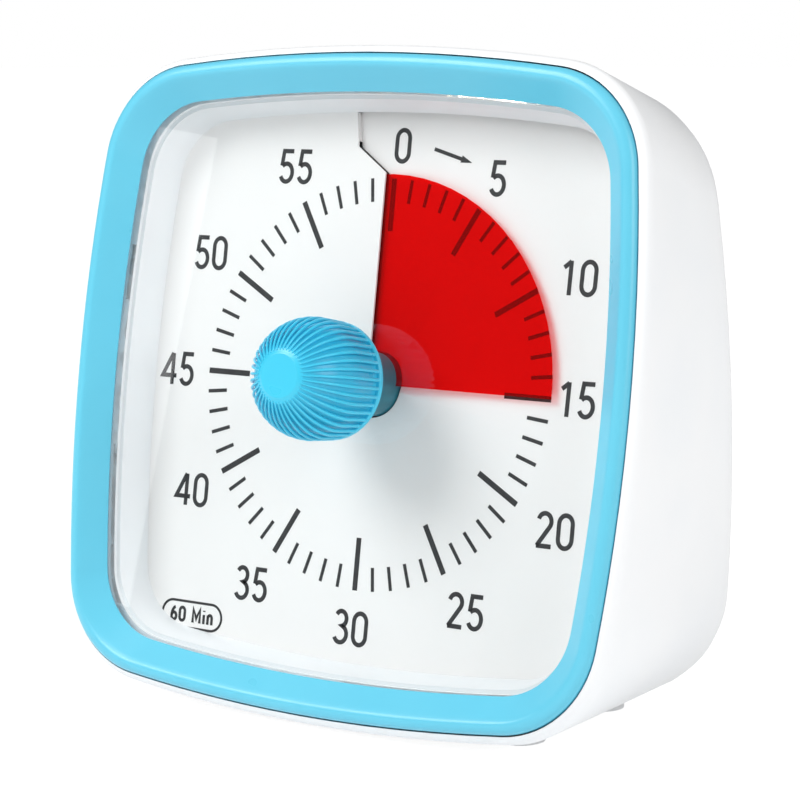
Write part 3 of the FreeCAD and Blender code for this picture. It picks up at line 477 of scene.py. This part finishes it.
# Sky-blue ABS with a semi-gloss mould: clean colour, broad highlight on the rim
bezel_blue = moulded("bezel_sky_blue_abs", "#66C8E2", "#62C5E0", 0.30, 0.8, 0.03)
# The knob is a deeper blue with a smoother mould, so that each rib carries a thin highlight
knob_blue = moulded("knob_sky_blue_abs", "#40C8E8", "#3AC3E5", 0.30, 0.8, 0.02)
# The hub under the knob is dark blue-green as painted shade: it stands for the sky-blue plastic in
# the shade round the neck
painted_shade_hub = moulded("neck_teal_abs", "#2E7484", "#2A6E7E", 0.34, 0.8, 0.03)
# Recess wall and tray: a tone greyer than the dial, painted shade so that the recess reads as
# depth
inner_white = moulded("inner_white_abs", "#F1F2F4", "#EEF0F2", 0.40, 0.6, 0.05)
# Dial: a faintly warm matt sheet, on which the ink stands out without glare
dial_white = moulded("dial_white_styrene", "#F4F2F1", "#F2F0EF", 0.50, 0.7, 0.03)
# Ink: a soft black that stays lighter than a shadow
black_ink = printed("dial_black_ink", "#2A2A2C", "#323234", 0.6)
# Film: a strong even red, with the marks and figures behind it just showing through
film_red = red_film()
# Window: seen by the strips of light it mirrors, and otherwise not at all
lens_clear = clear_window()
# Light chips: small warm points behind the diffuser
lamp_chips = lit("night_light_phosphor", "#FFF3D8", "#FFE9C4", 12.0)
# Diffuser: an even warm white bar that lights the top of the recess
lamp_diffuser = lit("night_light_diffuser", "#FFFDF6", "#FFF0DA", 34.0)
# Feet: silicone, dull and a little grey, with no clear highlight
rubber = moulded("foot_white_silicone", "#ECEDEE", "#E8E9EA", 0.62, 0.4, 0.15, 1.42)
# Movement case: black ABS with a coarse mould, a dull sheen on its edges
case_black = moulded("movement_black_abs", "#1B1C1E", "#202124", 0.40, 0.5, 0.12)
# Gears: natural acetal, creamy and slightly waxy
gear_acetal = moulded("gear_natural_acetal", "#EDE8DA", "#E6E0D0", 0.32, 0.6, 0.05, 1.48)
# Chip: filled epoxy, the dullest black inside
chip_epoxy = moulded("chip_black_epoxy", "#141414", "#1A1A1A", 0.55, 0.3, 0.15, 1.55)
# Board: deep green lacquer with a wet gloss
board_green = moulded("board_green_solder_mask", "#0F5A34", "#0C5230", 0.28, 0.7, 0.08, 1.5)
# Cells: a grey shrink jacket with a smooth, fairly sharp highlight
cell_jacket = moulded("cell_grey_jacket", "#4E5358", "#474C51", 0.25, 0.9, 0.04, 1.5)
# Steel: a bright, cool zinc plating with fine lines
steel = metal("bright_zinc_plated_steel", "#C9CACB", "#BDBEC0", 0.28, 0.6)
# Brass: warm yellow, turned bright
brass = metal("turned_brass", "#D9B66A", "#CDA95D", 0.25, 0.5)
# Winding: copper darkened by its enamel, with lines as fine as the wire
copper = metal("enamelled_copper_wire", "#B8622E", "#A85527", 0.32, 0.35)
# Magnet: sintered, a dull dark grey
magnet = metal("sintered_magnet", "#6A6B6E", "#5D5E61", 0.5, 0.4)

# The sleeve's dark blue-green is painted shade, the sky-blue plastic as it looks in shade
MATERIALS = {
    "casing": casing_white, "bezel": bezel_blue, "knob": knob_blue, "sleeve": painted_shade_hub,
    "lens": lens_clear, "dial": dial_white, "film": film_red, "inner_white": inner_white,
    "lamp_window": lamp_diffuser, "lamps": lamp_chips, "rubber": rubber,
    "movement_plastic": case_black, "gear_plastic": gear_acetal, "steel": steel, "brass": brass,
    "copper": copper, "magnet": magnet, "board": board_green, "chip": chip_epoxy,
    "cell": cell_jacket,
}
slot_of = {part["node"]: part["material_slot"] for part in frame["record"]["subparts"]}
for node_name, solid in frame["nodes"].items():
    solid.data.materials.clear()
    solid.data.materials.append(MATERIALS[slot_of[node_name]])

# Casing, cover, controls, feet, tray, film and screws: the solids' own shapes, smoothly shaded
for node_name in ("housing", "rear_cover", "battery_door", "rubber_feet", "light_button",
                  "sound_slider", "chassis", "timer_disc", "cover_screws"):
    smooth_copy(node_name, node_name + "_finished", MATERIALS[slot_of[node_name]],
                slot_of[node_name])

# Bezel
crest = FACE_HALF - RIM_WIDTH
rim = []
for i in range(RIM_STEPS + 1):
    bend = math.pi / 2 * i / RIM_STEPS
    rim.append((FACE_HALF - RIM_WIDTH * (1 - math.cos(bend)),
                BEZEL_TOP - RIM_HEIGHT * (1 - math.sin(bend))))
slope = [(crest - width, BEZEL_TOP - drop) for width, drop in zip(BROW_WIDTHS, BROW_DROPS)]
brow_half, brow_top = slope[-1]
for i in range(1, SLOPE_STEPS + 1):
    share = i / SLOPE_STEPS
    slope.append((brow_half - (brow_half - WINDOW_HALF) * share,
                  brow_top - (brow_top - LENS_TOP - SLOPE_LIP) * share))
seat = [(WINDOW_HALF, LENS_TOP), (SEAT_HALF, LENS_TOP), (SEAT_HALF, BEZEL_REAR)]
spigot = [(SPIGOT_INNER, BEZEL_REAR), (SPIGOT_INNER, SPIGOT_REAR), (SPIGOT_OUTER, SPIGOT_REAR),
          (SPIGOT_OUTER, BEZEL_REAR)]
bezel_section = [(FACE_HALF, BEZEL_REAR)] + rim + slope + seat + spigot
bezel = new_object("bezel_ring", ring_mesh("bezel_ring", bezel_section, 40.0))
finished(bezel, "timer_body", bezel_blue, "bezel", "bezel")


def window_pane():
    """Flat pane with eased outer edges, which carry fine lines of light, and a round hole."""
    eased = PANE_HALF - PANE_EASE
    points, per = outline_rows(((eased, LENS_REAR), (PANE_HALF, LENS_REAR + PANE_EASE),
                                (PANE_HALF, LENS_TOP - PANE_EASE), (eased, LENS_TOP)))
    for z in (LENS_TOP, LENS_REAR):
        for x, y in outline(eased):
            t = math.atan2(y, x)
            points.append((PANE_HOLE * math.cos(t), PANE_HOLE * math.sin(t), z))
    return build_mesh("window_pane", points, bands(range(0, len(points), per), per), 20.0)


pane = new_object("window_pane", window_pane())
finished(pane, "timer_body", lens_clear, "lens", "lens")


# Knob: a turned core, and ribs that a node tree sweeps along the dome

def dome_radius(z):
    """Radius of the knob's outline over its ribs at height z."""
    shoulder = KNOB_REAR + SHOULDER_RISE
    if z <= shoulder:
        return DOME_FOOT_RADIUS + DOME_FLARE * (z - KNOB_REAR) / SHOULDER_RISE
    # The arc through three points: the shoulder, a middle one and the cap's edge
    x1, z1 = SHOULDER_RADIUS, shoulder
    x2 = SHOULDER_RADIUS * ARC_MIDDLE_RADIUS
    z2 = shoulder + (KNOB_TOP - shoulder) * ARC_MIDDLE_HEIGHT
    x3, z3 = CAP_RADIUS, KNOB_TOP
    a, b, c, d = x2 - x1, z2 - z1, x3 - x1, z3 - z1
    e = (x2 ** 2 - x1 ** 2 + z2 ** 2 - z1 ** 2) / 2
    f = (x3 ** 2 - x1 ** 2 + z3 ** 2 - z1 ** 2) / 2
    det = a * d - b * c
    cx = (e * d - b * f) / det
    cz = (a * f - e * c) / det
    r = math.hypot(x1 - cx, z1 - cz)
    return cx + math.sqrt(max(r * r - (z - cz) ** 2, 0.0))


def dome_heights(start, stop, steps):
    """Heights from start over the rear to stop under the top, closer together near the top."""
    low = KNOB_REAR + start
    rise = KNOB_TOP - stop - KNOB_REAR - start
    return [low + rise * math.sin(math.pi / 2 * i / steps) for i in range(steps + 1)]


def knob_core():
    """The knob without its ribs, as (radius, height): the bottom of the grooves."""
    core = [(r, KNOB_REAR + rise) for r, rise in REAR_RING]
    for i, z in enumerate(dome_heights(GROOVE_START, GROOVE_STOP, CORE_STEPS)):
        if i:
            depth = GROOVE_DEPTH * (1.0 - GROOVE_FADE * (i / CORE_STEPS) ** 3)
            core.append((dome_radius(z) - depth, z))
    return core + [(r, KNOB_TOP + rise) for r, rise in CAP]


def rib_path():
    """Centre line of one rib, with the rib's half width as its radius."""
    path = bpy.data.curves.new("rib_path", "CURVE")
    path.dimensions = "3D"
    heights = dome_heights(RIB_START, RIB_STOP, RIB_STEPS)
    line = path.splines.new("POLY")
    line.points.add(len(heights) - 1)
    for point, z in zip(line.points, heights):
        r = dome_radius(z)
        half = RIB_SHARE * 2 * math.pi * r / RIB_COUNT
        point.co = ((r - half) * MM, 0.0, z * MM, 1.0)
        point.radius = half
    return path


def group(name, sockets):
    """A geometry node tree with named inputs and one geometry output."""
    tree = bpy.data.node_groups.new(name, "GeometryNodeTree")
    for way in ("INPUT", "OUTPUT"):
        tree.interface.new_socket(name="Geometry", in_out=way,
                                  socket_type="NodeSocketGeometry")
    for socket_name, kind, value in sockets:
        made = tree.interface.new_socket(name=socket_name, in_out="INPUT", socket_type=kind)
        made.default_value = value
    return tree


def grown(holder, tree, values, name):
    """Runs a node tree on an object with the given inputs and returns its mesh."""
    modifier = holder.modifiers.new(tree.name, "NODES")
    modifier.node_group = tree
    idents = {item.name: item.identifier for item in tree.interface.items_tree
              if item.in_out == "INPUT"}
    for key, value in values.items():
        modifier[idents[key]] = value
    bpy.context.view_layer.update()
    result = holder.evaluated_get(bpy.context.evaluated_depsgraph_get())
    mesh = bpy.data.meshes.new_from_object(result)
    mesh.name = name
    holder.modifiers.remove(modifier)
    bpy.data.objects.remove(holder)
    return mesh


def spots(tree, count):
    """As many points as count, all at the origin, for pieces that are turned into place."""
    return node(tree, "GeometryNodeMeshLine", {
        "Count": count, "Offset": (0.0, 0.0, 0.0)}).outputs["Mesh"]


def end_group(tree, instances, material):
    """Ends a geometry node tree: makes its instances real and gives them their material."""
    real = node(tree, "GeometryNodeRealizeInstances", {"Geometry": instances})
    dressed = node(tree, "GeometryNodeSetMaterial", {
        "Geometry": real.outputs["Geometry"], "Material": material})
    node(tree, "NodeGroupOutput", {"Geometry": dressed.outputs["Geometry"]})


def rib_tree(material):
    """Sweeps a circle along the given path and sets the rib round the axis, a groove first."""
    tree = group("knob_ribs", [("Count", "NodeSocketInt", RIB_COUNT),
                               ("Sides", "NodeSocketInt", RIB_SIDES)])
    given = node(tree, "NodeGroupInput").outputs
    profile = node(tree, "GeometryNodeCurvePrimitiveCircle", {
        "Resolution": given["Sides"], "Radius": 1.0 * MM})
    rib = node(tree, "GeometryNodeCurveToMesh", {
        "Curve": given["Geometry"], "Profile Curve": profile.outputs["Curve"], "Fill Caps": True,
        "Scale": node(tree, "GeometryNodeInputRadius").outputs["Radius"]})
    index = node(tree, "GeometryNodeInputIndex").outputs["Index"]
    step = maths(tree, "DIVIDE", 2 * math.pi, given["Count"])
    angle = maths(tree, "MULTIPLY", maths(tree, "ADD", index, 0.5), step)
    spin = node(tree, "ShaderNodeCombineXYZ", {"Z": angle})
    placed = node(tree, "GeometryNodeInstanceOnPoints", {
        "Points": spots(tree, given["Count"]), "Instance": rib.outputs["Mesh"],
        "Rotation": spin.outputs["Vector"]})
    end_group(tree, placed.outputs["Instances"], material)
    return tree


def into_face(mesh):
    """Moves a mesh built in metres round the dial's axis into place."""
    mesh.transform(Matrix.Translation(CENTRE) @ FACE.to_4x4())


ribs = grown(new_object("rib_path", rib_path()), rib_tree(knob_blue),
             {"Count": RIB_COUNT, "Sides": RIB_SIDES}, "knob_ribs")
into_face(ribs)
knob_mesh = turned_mesh("ribbed_knob", knob_core(), CORE_AROUND, 32.0)

# The neck is the solid's own, cut off just under the knob's rear and filled
bm = bmesh.new()
bm.from_mesh(frame["nodes"]["knob"].data)
bmesh.ops.remove_doubles(bm, verts=bm.verts, dist=2e-6)
bmesh.ops.bisect_plane(bm, geom=bm.verts[:] + bm.edges[:] + bm.faces[:],
                       plane_co=face(0, 0, NECK_CUT), plane_no=OUT, clear_outer=True)
rims = [e for e in bm.edges if e.is_boundary]
bmesh.ops.triangle_fill(bm, use_beauty=True, edges=rims)
bmesh.ops.recalc_face_normals(bm, faces=bm.faces)
bm.from_mesh(knob_mesh)
bm.from_mesh(ribs)
bm.to_mesh(knob_mesh)
bm.free()
sharpen(knob_mesh, 40.0)
knob = new_object("ribbed_knob", knob_mesh)
finished(knob, "knob_arbor", knob_blue, "knob", "knob")

# Inner frame: the white wall of the recess
wall = new_object("recess_wall", ring_mesh("recess_wall", RECESS_WALL, 50.0))
finished(wall, "timer_body", inner_white, "inner_white", "inner_frame")


# Print: minute marks from a node tree, figures, arrow and range badge as strokes of ink

def mark_tree(material):
    """Lays long and short marks clockwise from the top; MARK_CUTS lets them follow the flap."""
    tree = group("minute_marks", [
        ("Count", "NodeSocketInt", MINUTES), ("Every", "NodeSocketInt", MAJOR_EVERY),
        ("Outer", "NodeSocketFloat", MARK_UNIT * MM),
        ("Short", "NodeSocketFloat", MINOR_LENGTH * MM),
        ("Long", "NodeSocketFloat", MAJOR_LENGTH * MM),
        ("Thin", "NodeSocketFloat", MINOR_WIDTH * MM),
        ("Thick", "NodeSocketFloat", MAJOR_WIDTH * MM),
        ("Ink", "NodeSocketFloat", INK_THICKNESS * MM),
        ("Lift", "NodeSocketFloat", INK_LIFT * MM)])
    given = node(tree, "NodeGroupInput").outputs
    points = spots(tree, given["Count"])
    index = node(tree, "GeometryNodeInputIndex").outputs["Index"]
    rest = maths(tree, "MODULO", index, given["Every"])
    major = maths(tree, "LESS_THAN", rest, 0.5)
    minor = maths(tree, "SUBTRACT", 1.0, major)
    step = maths(tree, "DIVIDE", -2 * math.pi, given["Count"])
    spin = node(tree, "ShaderNodeCombineXYZ", {"Z": maths(tree, "MULTIPLY", index, step)})
    both = node(tree, "GeometryNodeJoinGeometry")
    for length, width, chosen in (("Short", "Thin", minor), ("Long", "Thick", major)):
        size = node(tree, "ShaderNodeCombineXYZ", {
            "X": given[width], "Y": given[length], "Z": given["Ink"]})
        bar = node(tree, "GeometryNodeMeshCube", {
            "Size": size.outputs["Vector"], "Vertices X": 2, "Vertices Y": MARK_CUTS,
            "Vertices Z": 2})
        shift = node(tree, "ShaderNodeCombineXYZ", {
            "Y": maths(tree, "MULTIPLY_ADD", given[length], -0.5, given["Outer"]),
            "Z": maths(tree, "MULTIPLY_ADD", given["Ink"], 0.5, given["Lift"])})
        moved = node(tree, "GeometryNodeTransform", {
            "Geometry": bar.outputs["Mesh"], "Translation": shift.outputs["Vector"]})
        placed = node(tree, "GeometryNodeInstanceOnPoints", {
            "Points": points, "Selection": chosen, "Instance": moved.outputs["Geometry"],
            "Rotation": spin.outputs["Vector"]})
        tree.links.new(placed.outputs["Instances"], both.inputs["Geometry"])
    end_group(tree, both.outputs["Geometry"], material)
    return tree


def dial_height(x, y):
    """Height of the dial's printed surface: 0, or less on the flap right of the slit."""
    clock = math.degrees(math.atan2(x, y))
    if x < SLIT_X or not -90.0 <= clock <= FLAP_END:
        return 0.0
    if clock < FLAP_LEVEL:
        return -FLAP_DEPTH
    return -FLAP_DEPTH * (FLAP_END - clock) / (FLAP_END - FLAP_LEVEL)


marks = grown(new_object("mark_holder", bpy.data.meshes.new("mark_holder")),
              mark_tree(black_ink), {"Count": MINUTES, "Every": MAJOR_EVERY}, "minute_marks")
for v in marks.vertices:
    v.co.z += dial_height(v.co.x / MM, v.co.y / MM) * MM
into_face(marks)
sharpen(marks, 30.0)
finished(new_object("minute_marks", marks), "timer_body", black_ink, "dial")


def bow(cx, cy, rx, ry, first, last, steps=18):
    """Points along part of an ellipse, from angle first to last in degrees."""
    turns = [math.radians(first + (last - first) * i / steps) for i in range(steps + 1)]
    return [(cx + rx * math.cos(t), cy + ry * math.sin(t)) for t in turns]


# Each glyph has its width and its strokes, as shares of the height; a stroke may be closed.
# The figures are narrow and upright, with one line width throughout.
ZERO = bow(0.27, 0.70, 0.21, 0.24, 0, 180) + bow(0.27, 0.30, 0.21, 0.24, 180, 360)
THREE = bow(0.26, 0.73, 0.18, 0.21, 150, -75) + bow(0.26, 0.295, 0.21, 0.235, 80, -155)
GLYPHS = {
    "0": (0.54, [(ZERO, True)]),
    "1": (0.54, [([(0.33, 0.02), (0.33, 0.95)], False), ([(0.33, 0.93), (0.12, 0.76)], False)]),
    "2": (0.54, [(bow(0.26, 0.72, 0.20, 0.22, 165, -38) + [(0.06, 0.06)], False),
                 ([(0.04, 0.06), (0.50, 0.06)], False)]),
    "3": (0.54, [(THREE, False)]),
    "4": (0.56, [([(0.38, 0.94), (0.04, 0.28), (0.55, 0.28)], False),
                 ([(0.40, 0.94), (0.40, 0.02)], False)]),
    "5": (0.54, [([(0.48, 0.94), (0.14, 0.94), (0.09, 0.52)], False),
                 (bow(0.26, 0.32, 0.21, 0.26, 135, -155), False)]),
    "6": (0.54, [(bow(0.27, 0.30, 0.20, 0.24, 0, 360), True),
                 (bow(0.43, 0.30, 0.36, 0.62, 180, 100), False)]),
    "M": (0.74, [([(0.08, 0.02), (0.08, 0.94), (0.37, 0.30), (0.66, 0.94), (0.66, 0.02)],
                  False)]),
    "i": (0.20, [([(0.10, 0.02), (0.10, 0.64)], False), ([(0.10, 0.84), (0.10, 0.92)], False)]),
    "n": (0.50, [([(0.08, 0.02), (0.08, 0.64)], False),
                 (bow(0.25, 0.44, 0.17, 0.21, 180, 0) + [(0.42, 0.02)], False)]),
    " ": (0.26, []),
}


def thinned(points):
    """The points without those that lie almost on the one before."""
    kept = [points[0]]
    for x, y in points[1:]:
        if math.hypot(x - kept[-1][0], y - kept[-1][1]) > POINT_GAP:
            kept.append((x, y))
    return kept


def stroke(path, width, closed):
    """A line of ink along a path, mitred at its bends and square at its ends."""
    path = thinned(path)
    if closed and math.dist(path[0], path[-1]) < POINT_GAP:
        path = path[:-1]
    count = len(path)
    points = []
    for i, (x, y) in enumerate(path):
        before = path[i - 1] if i or closed else None
        after = path[(i + 1) % count] if i < count - 1 or closed else None
        ways = []
        for a, b in ((before, (x, y)), ((x, y), after)):
            if a is not None and b is not None:
                d = math.hypot(b[0] - a[0], b[1] - a[1])
                ways.append(((b[0] - a[0]) / d, (b[1] - a[1]) / d))
        tx = sum(w[0] for w in ways)
        ty = sum(w[1] for w in ways)
        size = math.hypot(tx, ty)
        tx, ty = tx / size, ty / size
        reach = width / 2 / max(MITRE_LIMIT, tx * ways[0][0] + ty * ways[0][1])
        for z in INK_LEVELS:
            points += [(x - ty * reach, y + tx * reach, z), (x + ty * reach, y - tx * reach, z)]
    faces = []
    for i in range(count if closed else count - 1):
        a = 4 * i
        b = 4 * ((i + 1) % count)
        faces += [(a, b, b + 1, a + 1), (a + 2, a + 3, b + 3, b + 2), (a, a + 2, b + 2, b),
                  (a + 1, b + 1, b + 3, a + 3)]
    if not closed:
        last = 4 * (count - 1)
        faces += [(0, 1, 3, 2), (last, last + 2, last + 3, last + 1)]
    return points, faces


def lettering(text, x, y, height, width, spacing=0.10):
    """Figures centred on a place; those centred on the flap follow its height."""
    at = -(sum(GLYPHS[c][0] for c in text) + spacing * (len(text) - 1)) / 2
    points = []
    faces = []
    for c in text:
        wide, strokes = GLYPHS[c]
        for path, closed in strokes:
            placed = [(x + (px + at) * height, y + (py - 0.5) * height) for px, py in path]
            add_to(points, faces, *stroke(placed, width, closed))
        at += wide + spacing
    if dial_height(x, y):
        points = [(px, py, pz + dial_height(px, py)) for px, py, pz in points]
    return points, faces


def on_dial(name, points, faces, material):
    """A fixed piece on the dial that stands for no solid."""
    made = new_object(name, build_mesh(name, points, faces, 30.0))
    finished(made, "timer_body", material, "dial")


# Where each figure is centred, in MARK_UNIT
NUMERALS = {"0": (0.034, 1.160), "5": (0.589, 1.016), "10": (1.079, 0.569), "15": (1.133, 0.009),
            "20": (1.084, -0.600), "25": (0.639, -1.026), "30": (-0.006, -1.183),
            "35": (-0.624, -1.039), "40": (-1.047, -0.607), "45": (-1.202, -0.004),
            "50": (-1.055, 0.592), "55": (-0.571, 1.040)}
ink_points = []
ink_faces = []
for text, (ux, uy) in NUMERALS.items():
    add_to(ink_points, ink_faces,
           *lettering(text, ux * MARK_UNIT, uy * MARK_UNIT, NUMERAL_HEIGHT, NUMERAL_LINE))
on_dial("minute_numerals", ink_points, ink_faces, black_ink)

# Arrow from the 0 to the 5, on the sunken flap
tail = Vector(ARROW_TAIL) * MARK_UNIT
head = Vector(ARROW_HEAD) * MARK_UNIT
way = (head - tail).normalized()
side = Vector((-way.y, way.x))
neck = head - way * ARROW_BARB
arrow_points, arrow_faces = stroke([tuple(tail), tuple(neck + way * ARROW_OVERLAP)],
                                   ARROW_LINE, False)
barbs = [head, neck + side * ARROW_HALF, neck - side * ARROW_HALF]
add_to(arrow_points, arrow_faces, [(b.x, b.y, z) for z in INK_LEVELS for b in barbs],
       [(0, 1, 2), (3, 5, 4)] + [(i, (i + 1) % 3, 3 + (i + 1) % 3, 3 + i) for i in range(3)])
arrow_points = [(x, y, z - FLAP_DEPTH) for x, y, z in arrow_points]
on_dial("direction_arrow", arrow_points, arrow_faces, black_ink)

# Pill-shaped frame with the dial's range, low on the left
badge_x, badge_y = [share * MARK_UNIT for share in BADGE_PLACE]
end_radius = BADGE_RADIUS * MARK_UNIT
end_x = BADGE_HALF * MARK_UNIT - end_radius
pill = [(badge_x + dx, badge_y + dy) for dx, dy in
        bow(end_x, 0.0, end_radius, end_radius, -90, 90)
        + bow(-end_x, 0.0, end_radius, end_radius, 90, 270)]
badge_points, badge_faces = stroke(pill, BADGE_LINE, True)
add_to(badge_points, badge_faces,
       *lettering("60 Min", badge_x, badge_y, BADGE_HEIGHT, BADGE_STROKE, BADGE_SPACING))
on_dial("range_badge", badge_points, badge_faces, black_ink)

# Strip under the dial's edge that closes the slit above the disc, where nothing passes
strip_points = []
for z in (STRIP_GAP - FLAP_DEPTH, -DIAL_THICKNESS - STRIP_GAP):
    for y, edge in ((STRIP_LOW_Y, STRIP_LEFT), (STRIP_LOW_Y, STRIP_RIGHT),
                    (STRIP_HIGH_Y, STRIP_RIGHT), (STRIP_HIGH_Y, STRIP_LEFT)):
        strip_points.append((JOG_X - SLIT_LEAN * (y - JOG_TOP) + edge, y, z))
strip_faces = [(0, 1, 2, 3), (4, 7, 6, 5), (0, 4, 5, 1), (1, 5, 6, 2), (2, 6, 7, 3),
               (3, 7, 4, 0)]
on_dial("slit_closing_strip", strip_points, strip_faces, dial_white)

# Studio: the floor and the world look white to the camera, and light the object softly
FLOOR_REACH = 30.0
FLOOR_WHITE = 1.42
FLOOR_WHITE_SHARE = 0.62
WORLD_WHITE = 1.0
WORLD_SOFT = 0.52
WORLD_MIRRORED = 0.06


def seen(tree):
    """The light path's outputs, and 1 where a ray comes from the camera or through glass."""
    rays = node(tree, "ShaderNodeLightPath").outputs
    return rays, maths(tree, "MAXIMUM", rays["Is Camera Ray"], rays["Is Transmission Ray"])


floor_material, tree = blank("studio_floor")
rays, straight = seen(tree)
share = maths(tree, "MULTIPLY", maths(tree, "MAXIMUM", straight, rays["Is Glossy Ray"]),
              FLOOR_WHITE_SHARE)
matt = node(tree, "ShaderNodeBsdfDiffuse", {"Color": linear("#F4F5F6")})
white = node(tree, "ShaderNodeEmission", {"Color": linear("#FFFFFF"), "Strength": FLOOR_WHITE})
close(tree, mixed(tree, share, matt.outputs["BSDF"], white.outputs["Emission"]))
floor_mesh = bpy.data.meshes.new("floor")
floor_corners = [(x * FLOOR_REACH, y * FLOOR_REACH, 0.0)
                 for x, y in ((-1, -1), (1, -1), (1, 1), (-1, 1))]
floor_mesh.from_pydata(floor_corners, [], [(0, 1, 2, 3)])
floor = new_object("floor", floor_mesh)
floor.data.materials.append(floor_material)

world = bpy.data.worlds.new("studio")
world.use_nodes = True
bpy.context.scene.world = world
tree = world.node_tree
tree.nodes.clear()
rays, straight = seen(tree)
soft, white, dark = [
    node(tree, "ShaderNodeBackground", {"Color": linear(colour), "Strength": strength})
    .outputs["Background"]
    for colour, strength in (("#FFFEFD", WORLD_SOFT), ("#FFFFFF", WORLD_WHITE),
                             ("#FFFFFF", WORLD_MIRRORED))]
mirrored = mixed(tree, rays["Is Glossy Ray"], soft, dark)
node(tree, "ShaderNodeOutputWorld", {"Surface": mixed(tree, straight, mirrored, white)})


def softbox(name, spot, target, width, height, power):
    """A rectangular studio light that faces a target; its size is in metres."""
    light = bpy.data.lights.new(name, "AREA")
    light.shape = "RECTANGLE"
    light.size = width
    light.size_y = height
    light.energy = power
    made = new_object(name, light)
    made.location = spot
    made.rotation_euler = (Vector(target) - Vector(spot)).to_track_quat("-Z", "Y").to_euler()


# Key light from the upper left, a narrow strip that the window mirrors at its left edge, and a
# fill from the right that keeps the casing's side white
softbox("main_softbox", face(-420.0, 520.0, 660.0), face(0.0, 0.0, 0.0), 0.5, 0.5, 5.9)
softbox("left_strip", face(-548.0, 0.0, 614.0), face(-47.0, 0.0, LENS_TOP), 0.030, 0.240, 0.06)
softbox("right_softbox", (1.10, -0.35, 0.55), (0.0, 0.0, 0.06), 0.7, 0.7, 5.6)

# Camera, found from the minute marks of the photo. The rows are its right, down and forward
# directions in the face frame, and the shift is the dial's centre as it sees it, in MARK_UNIT.
ROWS = ((0.82736, 0.08717, -0.55486), (0.07431, -0.99619, -0.04571),
        (-0.55673, -0.00341, -0.83069))
SHIFT = Vector((-0.1323, -0.0764, 12.5002))
FOCAL_PX = 2589.2
IMAGE_PX = 800.0
SENSOR_MM = 36.0
CLIP_NEAR = 0.01
CLIP_FAR = 20.0
camera_data = bpy.data.cameras.new("camera")
camera_data.sensor_width = SENSOR_MM
camera_data.sensor_fit = "HORIZONTAL"
camera_data.lens = FOCAL_PX / IMAGE_PX * SENSOR_MM
camera_data.clip_start = CLIP_NEAR
camera_data.clip_end = CLIP_FAR
camera = new_object("camera", camera_data)
across, down, ahead = [(FACE @ Vector(row)).normalized() for row in ROWS]
place_in_face = -(Matrix(ROWS).transposed() @ SHIFT)
camera.matrix_world = (
    Matrix.Translation(CENTRE + FACE @ (place_in_face * (MARK_UNIT * MM)))
    @ Matrix((across, -down, -ahead)).transposed().to_4x4())
bpy.context.scene.camera = camera
bpy.context.scene.view_settings.view_transform = "Standard"
